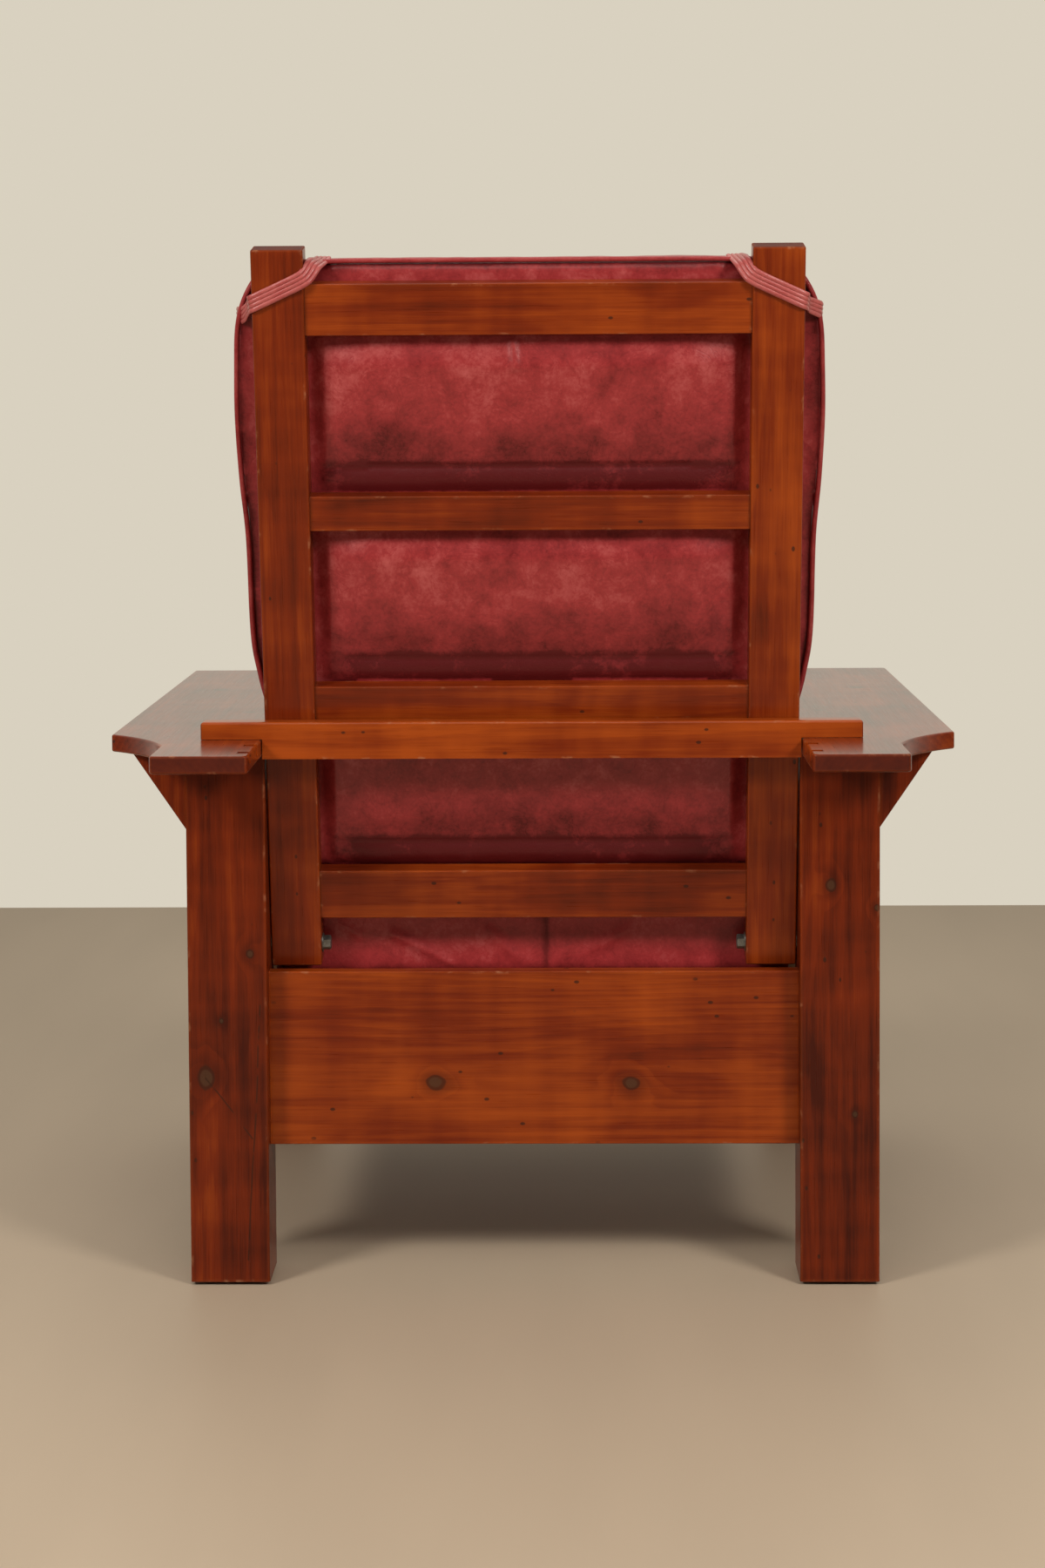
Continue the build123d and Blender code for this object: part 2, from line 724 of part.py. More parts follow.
def place_and_write(name, solids):
    """Move a piece so that the chair's box stands centred on the origin, and write it."""
    moved = [Pos(0, -middle_y, 0) * solid for solid in solids]
    shape = moved[0] if len(moved) == 1 else Compound(children=moved)
    export_step(shape, "parts/" + name + ".step")


for name, solids in pieces.items():
    place_and_write(name, solids)

print("pivot", round(pivot_y - middle_y, 3), round(pivot_z, 3))
print("bar front", round(bar_front - middle_y, 3), "bar top", round(bar_top, 3))
print("first notch", round(first_notch_front - middle_y, 3))
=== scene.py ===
import json
from math import atan2, exp, pi, radians, sin

import bpy
from bpy.props import FloatProperty, FloatVectorProperty, IntProperty, PointerProperty
from bpy.types import Operator, Panel, PropertyGroup
from mathutils import Matrix, Vector, noise
from mathutils.bvhtree import BVHTree
from mathutils.kdtree import KDTree

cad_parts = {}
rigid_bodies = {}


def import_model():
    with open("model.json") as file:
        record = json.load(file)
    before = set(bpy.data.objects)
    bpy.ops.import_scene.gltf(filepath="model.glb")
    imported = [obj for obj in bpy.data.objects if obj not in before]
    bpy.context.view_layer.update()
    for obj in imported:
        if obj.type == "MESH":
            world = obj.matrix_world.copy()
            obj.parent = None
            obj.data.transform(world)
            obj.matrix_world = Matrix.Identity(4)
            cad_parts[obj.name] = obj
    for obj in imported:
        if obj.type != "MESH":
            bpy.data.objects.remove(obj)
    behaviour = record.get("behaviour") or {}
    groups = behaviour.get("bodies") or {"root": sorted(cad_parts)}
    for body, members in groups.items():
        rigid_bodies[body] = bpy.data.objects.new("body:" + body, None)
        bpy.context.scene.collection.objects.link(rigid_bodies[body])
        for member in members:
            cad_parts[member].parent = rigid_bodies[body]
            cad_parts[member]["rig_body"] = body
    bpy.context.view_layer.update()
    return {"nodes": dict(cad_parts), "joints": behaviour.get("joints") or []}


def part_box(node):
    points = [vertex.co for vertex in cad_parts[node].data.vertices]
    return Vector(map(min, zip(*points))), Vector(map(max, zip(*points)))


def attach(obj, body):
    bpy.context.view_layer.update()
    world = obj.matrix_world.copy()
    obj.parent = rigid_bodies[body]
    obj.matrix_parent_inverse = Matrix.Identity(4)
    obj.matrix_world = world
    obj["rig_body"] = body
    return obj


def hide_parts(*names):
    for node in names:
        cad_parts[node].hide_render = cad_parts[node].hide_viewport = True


bl_info = {
    "name": "Reclining Armchair Dresser",
    "version": (1, 0, 0),
    "blender": (4, 5, 0),
    "location": "3D View > Sidebar > Armchair",
    "description": "Gives the armchair its stained wood, leather cushions, straps and fittings",
    "category": "Object",
}

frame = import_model()

# The leaned back: its origin is the pivot, and its z runs up the stiles
JOINTS = {joint["name"]: joint for joint in frame["joints"]}
PIVOT = Vector(JOINTS["back_tilt"]["pos_m"])
LEAN = atan2(JOINTS["bar_lift"]["axis"][1], JOINTS["bar_lift"]["axis"][2])
BACK_FRAME = Matrix.Translation(PIVOT) @ Matrix.Rotation(-LEAN, 4, "X")
INTO_BACK = BACK_FRAME.inverted()

# Distances from an edge at which wear starts and is full, and how thick the polish is on some pieces
WORN_EDGE = (0.0042, 0.0004)
POLISH = {"arm": 0.55, "support": 0.30}

# Width of an arm's tail, and how far back it starts
TAIL_WIDTH = 0.1075
TAIL_START = 0.40

# Size of the photograph and the point that its camera looked at, in its pixels
PHOTO_WIDTH, PHOTO_HEIGHT = 1200, 1800
VIEW_POINT = (603, 620.3)


# Properties

def colour(name, description, default):
    """A colour property with its default."""
    return FloatVectorProperty(name=name, description=description, subtype="COLOR", size=3,
                               min=0, max=1, default=default)


def length(name, description, default):
    """A length property in metres."""
    return FloatProperty(name=name, description=description, unit="LENGTH", subtype="DISTANCE",
                         default=default)


def share_of(name, description, default):
    """A share between nothing and all."""
    return FloatProperty(name=name, description=description, subtype="FACTOR", min=0, max=1,
                         default=default)


class ArmchairWood(PropertyGroup):
    """The stained knotty wood of the frame."""
    deep: colour("Deep stain", "Darkest tone of the stain", (0.058, 0.0068, 0.0022))
    middle: colour("Middle stain", "Middle tone of the stain", (0.176, 0.0202, 0.0030))
    pale: colour("Pale stain", "Lightest tone of the stain", (0.36, 0.062, 0.0060))
    knot: colour("Knot", "Dark ring of a knot, and the colour of cracks", (0.036, 0.012, 0.006))
    heart: colour("Heart", "Greyish heart of a knot", (0.095, 0.052, 0.026))
    worn: colour("Worn edge", "Wood that shows where an edge has worn", (0.44, 0.20, 0.10))
    ring: length("Ring width", "Distance between the growth rings", 0.0062)
    figure: share_of("Figure", "How dark the growth rings are", 0.07)
    streaks: share_of("Streaks", "How strong the long streaks are", 0.54)
    blotches: share_of("Blotches", "How unevenly the stain has taken", 0.98)
    fibres: share_of("Fibres", "How strong the fine fibres are", 0.26)
    bands: share_of("Bands", "How strong the bands across the grain are", 0.34)


class ArmchairLeather(PropertyGroup):
    """The leather of cushions, welts and straps."""
    deep: colour("Deep tone", "Darkest tone of the leather", (0.092, 0.0042, 0.0056))
    middle: colour("Middle tone", "Middle tone of the leather", (0.315, 0.0290, 0.0310))
    # The pale tone also carries the painted highlight on the tops of the back cushion's rolls
    pale: colour("Pale tone", "Rubbed tone of the leather", (0.58, 0.135, 0.128))
    strap: colour("Strap", "Tone of the straps' ribs", (0.42, 0.095, 0.088))
    grain: FloatProperty(name="Grain", description="Cells of the leather's grain in a metre",
                         default=520.0)
    mottle: FloatProperty(name="Mottle", description="Clouds of colour in a metre", default=9.0)
    clouds: share_of("Clouds", "How strong the clouds of colour are", 0.50)
    patches: share_of("Patches", "How strong the smaller patches are", 0.50)
    flecks: share_of("Flecks", "How strong the fine flecks are", 0.24)
    # Strength of the painted shade in seams, creases and below the rolls, and of the painted highlight on
    # the rolls' tops
    painted_shade_strength: share_of("Creased", "How much darker seams and creases are", 0.46)


class ArmchairCushions(PropertyGroup):
    """How the cushions are stuffed, sewn and pressed."""
    voxel: length("Voxel", "Size of the mesh that is inflated", 0.0075)
    shrink: length("Slack", "How much smaller a cushion starts before it is inflated", 0.006)
    pressure: FloatProperty(name="Pressure", description="Pressure of the filling", default=1.6)
    cap: length("Swell limit", "Most that a point may move as the cushion fills", 0.012)
    rim: length("Rim", "Distance from a welt within which the cover is held", 0.016)
    welt: length("Welt radius", "Radius of the cord in the welts", 0.0030)
    groove: length("Seam depth", "How far a seam draws the leather in", 0.0030)
    gap: length("Gap", "Clearance between the leather and the wood", 0.0006)
    droop: length("Droop", "How much lower the back cushion's front edge lies at its top", 0.024)
    rise: length("Rise", "How much higher its front edge lies at its bottom, clear of the seat", 0.008)
    slim: share_of("Slim", "Share of its width that the filled back cushion loses", 0.012)
    drawn: share_of("Drawn in", "Share of its width that the straps draw the top in", 0.085)
    frames: IntProperty(name="Frames", description="Length of the inflation", default=20)


class ArmchairStage(PropertyGroup):
    """Camera, lamps, floor and background."""
    wall: colour("Background", "Colour behind the chair", (0.694, 0.638, 0.527))
    floor: colour("Floor", "Colour of the floor", (0.50, 0.40, 0.295))
    camera_place: FloatVectorProperty(name="Camera", description="Place of the camera", size=3,
                                      subtype="TRANSLATION", unit="LENGTH",
                                      default=(-0.05065, 3.5654, 1.0455))
    camera_turn: FloatVectorProperty(name="Turn", description="Turn of the camera", size=3,
                                     subtype="EULER", unit="ROTATION",
                                     default=(radians(86.821), radians(0.3305), radians(-179.0224)))
    lens: FloatProperty(name="Lens", description="Focal length over a 36 mm side", default=66.0,
                        unit="CAMERA")


# Shader nodes

class Value:
    """An output of a shader node. Arithmetic on it adds Math nodes."""

    def __init__(self, finish, socket):
        self.finish = finish
        self.socket = socket

    def maths(self, operation, *values):
        """The output of one new Math node."""
        return self.finish.node("ShaderNodeMath", {"operation": operation}, values)

    def __add__(self, other):
        return self.maths("ADD", self, other)

    __radd__ = __add__

    def __sub__(self, other):
        return self.maths("SUBTRACT", self, other)

    def __rsub__(self, other):
        return self.maths("SUBTRACT", other, self)

    def __mul__(self, other):
        return self.maths("MULTIPLY", self, other)

    __rmul__ = __mul__

    def __truediv__(self, other):
        return self.maths("DIVIDE", self, other)

    def __pow__(self, other):
        return self.maths("POWER", self, other)

    def __abs__(self):
        return self.maths("ABSOLUTE", self)

    def low(self, other):
        """The lower of two values."""
        return self.maths("MINIMUM", self, other)

    def high(self, other):
        """The higher of two values."""
        return self.maths("MAXIMUM", self, other)

    def fraction(self):
        """What is left of a value past its whole number."""
        return self.maths("FRACT", self)

    def step(self, start, end):
        """0 before start and 1 after end, with a smooth rise or fall between them."""
        if start > end:
            return 1 - self.step(end, start)
        return self.finish.node("ShaderNodeMapRange", {"interpolation_type": "SMOOTHSTEP"},
                                {"Value": self, "From Min": start, "From Max": end})


class Finish:
    """A material, or a world, while its nodes are laid."""

    def __init__(self, name, world=None):
        self.owner = world or bpy.data.materials.new(name)
        self.owner.use_nodes = True
        self.tree = self.owner.node_tree
        self.tree.nodes.clear()

    def node(self, kind, settings=None, values=(), output=0):
        """Adds a node, sets it up, feeds its sockets and returns one of its outputs."""
        made = self.tree.nodes.new(kind)
        for name, setting in (settings or {}).items():
            if name == "stops":
                lay_stops(made.color_ramp, setting)
            else:
                setattr(made, name, setting)
        for key, value in (values.items() if isinstance(values, dict) else enumerate(values)):
            if isinstance(value, Value):
                self.tree.links.new(value.socket, made.inputs[key])
            else:
                made.inputs[key].default_value = value
        return Value(self, made.outputs[output]) if made.outputs else None

    def place(self):
        """Place on the piece, in metres."""
        return self.node("ShaderNodeTexCoord", output="Object")

    def moved(self, vector, **mapping):
        """A vector moved, turned or scaled by a Mapping node."""
        return self.node("ShaderNodeMapping", {"vector_type": "POINT"}, {"Vector": vector, **mapping})

    def split(self, vector):
        """The three parts of a vector."""
        parts = self.node("ShaderNodeSeparateXYZ", None, [vector]).socket.node
        return [Value(self, socket) for socket in parts.outputs]

    def joined(self, *parts):
        """A vector made of three parts."""
        return self.node("ShaderNodeCombineXYZ", None, parts)

    def noise(self, vector, scale, detail=2.0, roughness=0.5, distortion=0.0):
        """Cloudy noise round 0.5."""
        return self.node("ShaderNodeTexNoise", {"noise_dimensions": "3D"}, {
            "Vector": vector, "Scale": scale, "Detail": detail, "Roughness": roughness,
            "Distortion": distortion})

    def cells(self, vector, scale, output="Distance", feature="F1"):
        """How far a place is from the middle of its cell."""
        return self.node("ShaderNodeTexVoronoi", {"feature": feature},
                         {"Vector": vector, "Scale": scale}, output)

    def blend(self, share, first, second):
        """Two colours mixed by a share."""
        return self.node("ShaderNodeMix", {"data_type": "RGBA"}, {0: share, 6: first, 7: second}, 2)

    def ramp(self, value, stops):
        """A colour for each value, from stops of place and colour."""
        return self.node("ShaderNodeValToRGB", {"stops": stops}, [value])

    def bump(self, height, distance, strength=1.0):
        """A normal that shows a height as relief."""
        return self.node("ShaderNodeBump", None,
                         {"Height": height, "Distance": distance, "Strength": strength})

    def surface(self, **sockets):
        """Ends the material with one glossy surface."""
        values = {name.replace("_", " "): value for name, value in sockets.items()}
        shader = self.node("ShaderNodeBsdfPrincipled", None, values)
        self.node("ShaderNodeOutputMaterial", None, [shader])
        return self.owner


def rgba(tone):
    """A colour with full alpha."""
    return (*tone, 1.0)


def lay_stops(ramp, stops):
    """Gives a colour ramp its stops of place and colour."""
    while len(ramp.elements) < len(stops):
        ramp.elements.new(0.5)
    for element, (at, tone) in zip(ramp.elements, stops):
        element.position = at
        element.color = rgba(tone)


# Wood

def wooden_pieces():
    """Grain axis, tone and knots of each wooden node. A knot is its place along and across, and radius."""
    pieces = {
        "rear_apron": ("X", 0.60, [(0.115, 0.232, 0.0075), (-0.113, 0.230, 0.0085)]),
        "front_apron": ("X", 0.55, [(0.17, 0.27, 0.008), (-0.06, 0.31, 0.006)]),
        "rear_leg_left": ("Z", 0.41, [(0.243, 0.378, 0.009), (0.388, 0.326, 0.005),
                                      (0.31, 0.36, 0.003)]),
        "rear_leg_right": ("Z", 0.33, [(0.466, -0.342, 0.006), (0.44, -0.395, 0.0045),
                                       (0.2, -0.37, 0.004)]),
        "front_leg_left": ("Z", 0.44, [(0.33, 0.35, 0.009)]),
        "front_leg_right": ("Z", 0.40, [(0.16, -0.37, 0.010), (0.45, -0.33, 0.005)]),
        "support_bar": ("X", 0.74, []),
    }
    for side, sign in (("_left", 1), ("_right", -1)):
        pieces["arm" + side] = ("Y", 0.42, [(-0.21, sign * 0.42, 0.009), (0.05, sign * 0.35, 0.006)])
        pieces["side_apron" + side] = ("Y", 0.50, [(0.0, 0.27, 0.009), (-0.2, 0.22, 0.006)])
        pieces["side_rail" + side] = ("Y", 0.45, [])
        pieces["rear_corbel" + side] = ("Z", 0.34, [])
        pieces["front_corbel" + side] = ("Z", 0.36, [])
        pieces["back_stile" + side] = ("Z", 0.50 - 0.03 * sign, [])
        for place in range(1, 6):
            pieces["side_slat_%d%s" % (place, side)] = ("Z", 0.44 + 0.03 * (place % 3), [])
    for name, tone in (("lower", 0.50), ("middle", 0.55), ("upper", 0.46), ("top", 0.54)):
        pieces["back_rail_" + name] = ("X", tone, [])
    return pieces


# Drying cracks that the photograph shows: ends along and across the grain
CRACKS = {
    "rear_leg_left": [((0.243, 0.378), (0.172, 0.325)), ((0.328, 0.3148), (0.172, 0.3233)),
                      ((0.172, 0.3233), (0.030, 0.3320))],
}


def leans(node):
    """Whether a node rides the leaned back."""
    return node in frame["nodes"] and frame["nodes"][node]["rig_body"] == "back"


def own_box(node):
    """Lowest and highest corner of a node, in the leaned frame for a piece of the back."""
    if not leans(node):
        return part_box(node)
    points = [INTO_BACK @ vertex.co for vertex in frame["nodes"][node].data.vertices]
    low = Vector([min(point[i] for point in points) for i in range(3)])
    high = Vector([max(point[i] for point in points) for i in range(3)])
    return low, high


def edge_distance(parts, low, high):
    """How far a point is from the nearest edge of a box."""
    gaps = []
    for part, bottom, top in zip(parts, low, high):
        gaps.append((top - bottom) / 2 - abs(part - (top + bottom) / 2))
    first, second, third = gaps
    return first.low(second).high(first.high(second).low(third))


class Board:
    """A wooden piece while its finish is laid, measured along, across and into its grain."""

    def __init__(self, node, axis, seed):
        self.node = node
        self.seed = seed
        self.finish = Finish("wood_" + node)
        place = self.finish.place()
        if leans(node):
            place = self.finish.moved(place, Rotation=(LEAN, 0, 0), Location=INTO_BACK.to_translation())
        self.parts = self.finish.split(place)
        self.order = {"X": (0, 2, 1), "Y": (1, 0, 2), "Z": (2, 0, 1)}[axis]
        self.low, self.high = own_box(node)
        self.middle = [(self.low[i] + self.high[i]) / 2 for i in self.order]
        self.along, self.across, self.depth = (
            self.parts[i] - middle for i, middle in zip(self.order, self.middle))
        self.wobble = self.grain(9.0, 40.0, 2.0) - 0.5

    def grain(self, along_scale, across_scale, detail=2.0, roughness=0.5, distortion=0.0):
        """Noise with its own scale along the grain and across it."""
        vector = self.finish.joined(self.along * along_scale + self.seed * 3.7,
                                    self.across * across_scale + self.seed * 1.3,
                                    self.depth * across_scale)
        return self.finish.noise(vector, 1.0, detail, roughness, distortion)

    def knots(self, knots):
        """How far the rings swerve at the knots, and the shares of their heart, dark ring and halo."""
        swerve = 0
        shares = None
        for along, across, radius in knots:
            away = (((self.along - (along - self.middle[0])) * 0.85) ** 2
                    + (self.across - (across - self.middle[1])) ** 2) ** 0.5
            uneven = away * (1 + 1.4 * self.wobble) / radius
            swerve = uneven.step(4.5, 0.6) * (radius * 1.2) + swerve
            here = uneven.step(0.72, 0.52), uneven.step(1.10, 0.85), uneven.step(2.6, 1.0)
            shares = here if shares is None else [a.high(b) for a, b in zip(shares, here)]
        return swerve, shares

    def cracks(self):
        """How much a point lies in a drying crack, or None for a board without cracks."""
        split = None
        for start, end in CRACKS.get(self.node, []):
            run = [end[i] - start[i] for i in range(2)]
            ahead = (self.along - (start[0] - self.middle[0]),
                     self.across - (start[1] - self.middle[1]) + self.wobble * 0.004)
            share = (ahead[0] * run[0] + ahead[1] * run[1]) / (run[0] ** 2 + run[1] ** 2)
            share = share.high(0).low(1)
            away = ((ahead[0] - share * run[0]) ** 2 + (ahead[1] - share * run[1]) ** 2) ** 0.5
            line = away.step(0.0013, 0.0003) * self.grain(60.0, 60.0).step(0.36, 0.50)
            split = line if split is None else split.high(line)
        return split

    def wear(self):
        """How near a point lies to an edge of the piece, where the finish rubs off."""
        wear = edge_distance(self.parts, self.low, self.high).step(*WORN_EDGE)
        if self.node.startswith("arm_"):
            inner = self.low.x if self.node == "arm_left" else self.high.x
            outer = inner + (TAIL_WIDTH if inner > 0 else -TAIL_WIDTH)
            tail_low = (min(inner, outer), TAIL_START, self.low.z)
            tail_high = (max(inner, outer), self.high.y, self.high.z)
            tail = edge_distance(self.parts, tail_low, tail_high).step(*WORN_EDGE)
            wear = wear.high(tail * self.parts[1].step(TAIL_START, TAIL_START + 0.02))
        return wear

    def end_grain(self):
        """1 on the piece's two ends and 0 elsewhere."""
        end = self.order[0]
        half = (self.high[end] - self.low[end]) / 2
        return (half - abs(self.along)).step(0.0016, 0.0004)


def stained_wood(node, axis, tone, knots, wood, seed):
    """Knotty softwood with growth rings, fibres, blotchy stain, knots and worn edges."""
    board = Board(node, axis, seed)
    finish, grain = board.finish, board.grain
    drift = grain(2.2, 5.0, 1.0) - 0.5
    heart = 0.045 + 0.02 * (seed % 3)
    swerve, knot_shares = board.knots(knots)
    distance = ((board.across + drift * 0.050 + 0.013 * (seed % 5 - 2)) ** 2
                + (board.depth * 0.8 + heart + drift * 0.018) ** 2) ** 0.5
    late = ((distance + board.wobble * 0.0035 + swerve) / wood.ring).fraction()
    late = late.step(0.25, 0.86) * late.step(1.0, 0.90)
    streak = grain(3.0, 110.0, 3.0, 0.6)
    fibre = grain(16.0, 620.0, 2.0, 0.6)
    blotch = grain(5.0, 11.0, 3.0, 0.55, 0.4)
    band = grain(24.0, 3.0, 2.0)
    shade = (tone + (streak - 0.5) * wood.streaks + (blotch - 0.5) * wood.blotches
             + (fibre - 0.5) * wood.fibres + (band - 0.5) * wood.bands - (late - 0.35) * wood.figure)
    hue = finish.ramp(shade, [(0.12, wood.deep), (0.47, wood.middle), (0.88, wood.pale)])
    cells = finish.cells(
        finish.joined(board.along * 30.0 + seed, board.across * 48.0, board.depth * 48.0), 1.0)
    specks = cells.step(0.110, 0.070) * grain(8.0, 8.0, 0.0).step(0.44, 0.52)
    hue = finish.blend(specks * 0.8, hue, rgba(wood.knot))
    if knots:
        heart_share, ring_share, halo_share = knot_shares
        hue = finish.blend(halo_share * 0.40, hue, rgba(wood.deep))
        hue = finish.blend(ring_share * 0.72, hue, rgba(wood.knot))
        hue = finish.blend(heart_share * 0.42, hue, rgba(wood.heart))
    end_grain = board.end_grain()
    hue = finish.blend(end_grain * 0.75, hue, rgba(wood.deep))
    split = board.cracks()
    if split is not None:
        hue = finish.blend(split * 0.75, hue, rgba(wood.knot))
    wear = board.wear()
    wear_and_painted_sheen = wear * grain(38.0, 60.0, 3.0, 0.65).step(0.57, 0.70)    # only here and there
    hue = finish.blend(wear * 0.20, hue, rgba(wood.pale))
    hue = finish.blend(wear_and_painted_sheen * 0.45, hue, rgba(wood.worn))
    relief = fibre * 0.5 + late * 0.35 - specks * 2.0
    polish = POLISH.get(node.split("_")[0], 0.08)
    return finish.surface(
        Base_Color=hue, Roughness=0.30 + (fibre - 0.5) * 0.14 + wear_and_painted_sheen * 0.2 + end_grain * 0.38, IOR=1.29,
        Coat_Weight=polish - end_grain * polish, Coat_Roughness=0.14, Coat_IOR=1.42,
        Normal=finish.bump(relief, 0.00030, 0.35))


def bare_wood(name, tint):
    """Unstained wood of the parts that don't show."""
    finish = Finish(name)
    place = finish.place()
    streak = finish.noise(finish.moved(place, Scale=(6, 60, 60)), 1.0, 3.0, 0.6)
    fibre = finish.noise(finish.moved(place, Scale=(18, 500, 500)), 1.0, 2.0, 0.6)
    pale = [min(1, part * 1.25) for part in tint]
    dark = [part * 0.6 for part in tint]
    hue = finish.ramp(streak * 0.7 + fibre * 0.3, [(0.25, dark), (0.5, tint), (0.8, pale)])
    return finish.surface(Base_Color=hue, Roughness=0.62 + fibre * 0.1,
                          Normal=finish.bump(fibre, 0.0003, 0.4))


def dress(node, material):
    """Gives a node its material."""
    piece = frame["nodes"][node]
    piece.data.materials.clear()
    piece.data.materials.append(material)


class ARMCHAIR_OT_wood(Operator):
    """Stains every wooden piece, each with its own grain"""
    bl_idname = "armchair.wood"
    bl_label = "Stain the Wood"

    def execute(self, context):
        wood = context.scene.armchair_wood
        for seed, (node, (axis, tone, knots)) in enumerate(sorted(wooden_pieces().items())):
            slot = "bar_wood" if node == "support_bar" else "stained_wood"
            dress(node, stained_wood(node, axis, tone, knots, wood, seed + 1))
        seat_wood = bare_wood("bare_seat_wood", (0.50, 0.28, 0.12))
        dowel_wood = bare_wood("bare_dowel_wood", (0.58, 0.38, 0.20))
        for node in frame["nodes"]:
            if node.startswith(("seat_slat", "seat_cleat", "rear_corner", "front_corner")):
                dress(node, seat_wood)
            elif node in ("arm_dowels", "rail_dowels"):
                dress(node, dowel_wood)
        dress("bar_pegs", dowel_wood)
        return {"FINISHED"}


# Fittings

def zinc_steel():
    """Dull plated steel with small stains."""
    finish = Finish("zinc_steel")
    place = finish.place()
    stain = finish.noise(place, 260.0, 4.0, 0.6)
    hue = finish.ramp(stain, [(0.3, (0.13, 0.13, 0.12)), (0.55, (0.27, 0.27, 0.25)),
                              (0.8, (0.37, 0.37, 0.35))])
    return finish.surface(Base_Color=hue, Metallic=0.9, Roughness=0.32 + stain * 0.2,
                          Normal=finish.bump(stain, 0.0002, 0.3))


def bushing_brass():
    """Brass that has dulled in its bore."""
    finish = Finish("bushing_brass")
    dull = finish.noise(finish.place(), 180.0, 3.0)
    hue = finish.ramp(dull, [(0.3, (0.28, 0.19, 0.07)), (0.7, (0.55, 0.40, 0.17))])
    return finish.surface(Base_Color=hue, Metallic=0.9, Roughness=0.35 + dull * 0.2)


def glide_plastic():
    """Dark plastic that the floor has scuffed."""
    finish = Finish("glide_plastic")
    scuff = finish.noise(finish.place(), 150.0, 4.0, 0.65)
    hue = finish.ramp(scuff, [(0.35, (0.02, 0.018, 0.016)), (0.75, (0.07, 0.062, 0.055))])
    return finish.surface(Base_Color=hue, Roughness=0.5 + scuff * 0.3,
                          Normal=finish.bump(scuff, 0.0002, 0.4))


class ARMCHAIR_OT_fittings(Operator):
    """Plates the bolts, nuts, washers and screws, and finishes bushings and glides"""
    bl_idname = "armchair.fittings"
    bl_label = "Finish the Fittings"

    def execute(self, context):
        steel = zinc_steel()
        for node in ("pivot_bolts", "pivot_nuts", "pivot_washers", "corner_screws"):
            dress(node, steel)
        dress("pivot_bushings", bushing_brass())
        dress("leg_glides", glide_plastic())
        return {"FINISHED"}


# Leather

def leather(name, tones, look, seed=0.0):
    """Aniline leather, mottled, with painted shade in its seams, creases and below its rolls, and a
    painted highlight on the tops of the rolls.
    """
    finish = Finish(name)
    place = finish.moved(finish.place(), Location=(seed, seed * 0.7, 0))
    cloud = finish.noise(place, look.mottle, 6.0, 0.62, 0.5)
    patch = finish.noise(place, look.mottle * 4.5, 4.0, 0.6, 0.3)
    fleck = finish.noise(place, look.mottle * 30, 3.0, 0.6)
    crease = finish.node("ShaderNodeAttribute", {"attribute_name": "crease"}, output="Fac")
    pores = finish.cells(place, look.grain, feature="SMOOTH_F1")
    veins = abs(finish.noise(place, 34.0, 4.0, 0.6, 1.2) - 0.5).step(0.035, 0.0)
    # The painted shading mark darkens the colour as painted shade and, below 0, lightens it as a painted
    # highlight; it also dulls the coat where it darkens
    shade = (0.5 + (cloud - 0.5) * look.clouds + (patch - 0.5) * look.patches
             + (fleck - 0.5) * look.flecks - crease * look.painted_shade_strength - veins * 0.05)
    hue = finish.ramp(shade, [(0.18, tones[0]), (0.50, tones[1]), (0.86, tones[2])])
    relief = pores * 0.45 - veins * 0.5 + fleck * 0.35
    return finish.surface(
        Base_Color=hue, Roughness=0.36 + (patch - 0.5) * 0.16 + crease * 0.10, IOR=1.37,
        Coat_Weight=(0.18 - crease * 0.3).high(0), Coat_Roughness=0.22,
        Normal=finish.bump(relief, 0.00030, 0.45))


# Helpers for meshes

def only(piece):
    """Makes one object the only one that is selected and active."""
    bpy.ops.object.select_all(action="DESELECT")
    piece.select_set(True)
    bpy.context.view_layer.objects.active = piece


def apply_modifier(piece, kind, **settings):
    """Adds a modifier, sets it up and applies it."""
    only(piece)
    modifier = piece.modifiers.new(kind.title(), kind)
    for name, setting in settings.items():
        setattr(modifier, name, setting)
    bpy.ops.object.modifier_apply(modifier=modifier.name)


def copy_of(node, name):
    """A closed copy of a CAD node's mesh, as a new piece."""
    piece = bpy.data.objects.new(name, frame["nodes"][node].data.copy())
    bpy.context.scene.collection.objects.link(piece)
    piece.data.materials.clear()
    only(piece)
    bpy.ops.object.mode_set(mode="EDIT")
    bpy.ops.mesh.select_all(action="SELECT")
    bpy.ops.mesh.remove_doubles(threshold=0.00002)
    bpy.ops.mesh.normals_make_consistent(inside=False)
    bpy.ops.object.mode_set(mode="OBJECT")
    return piece


def sharp_corners(piece, angle=radians(38)):
    """The points of a solid's sharp edges."""
    mesh = piece.data
    normals_at = {}
    for polygon in mesh.polygons:
        for key in polygon.edge_keys:
            normals_at.setdefault(key, []).append(polygon.normal)
    found = set()
    for key, normals in normals_at.items():
        if len(normals) == 2 and normals[0].angle(normals[1], 0) > angle:
            found.update(key)
    return [mesh.vertices[index].co.copy() for index in found]


def ring_round(points, across, up):
    """Points in order round their middle, seen in the plane of two directions."""
    middle = sum(points, Vector()) / len(points)
    return sorted(points, key=lambda p: atan2((p - middle).dot(up), (p - middle).dot(across)))


def with_normals(piece):
    """Each point of a piece with the way it faces, taken before any point moves."""
    vertices = piece.data.vertices
    return zip(vertices, [vertex.normal.copy() for vertex in vertices])


def surface_of(piece):
    """A tree that finds the nearest spot on the surface of a piece."""
    return BVHTree.FromPolygons([v.co for v in piece.data.vertices],
                                [p.vertices for p in piece.data.polygons])


def evenly(points, spacing):
    """A closed line with points at an even spacing."""
    closed = points + points[:1]
    total = sum((b - a).length for a, b in zip(closed, closed[1:]))
    count = int(total / spacing)
    spaced, travelled, wanted = [], 0.0, 0.0
    for start, end in zip(closed, closed[1:]):
        run = (end - start).length
        while run > 0 and wanted <= travelled + run and len(spaced) < count:
            spaced.append(start.lerp(end, (wanted - travelled) / run))
            wanted += total / count
        travelled += run
    return spaced


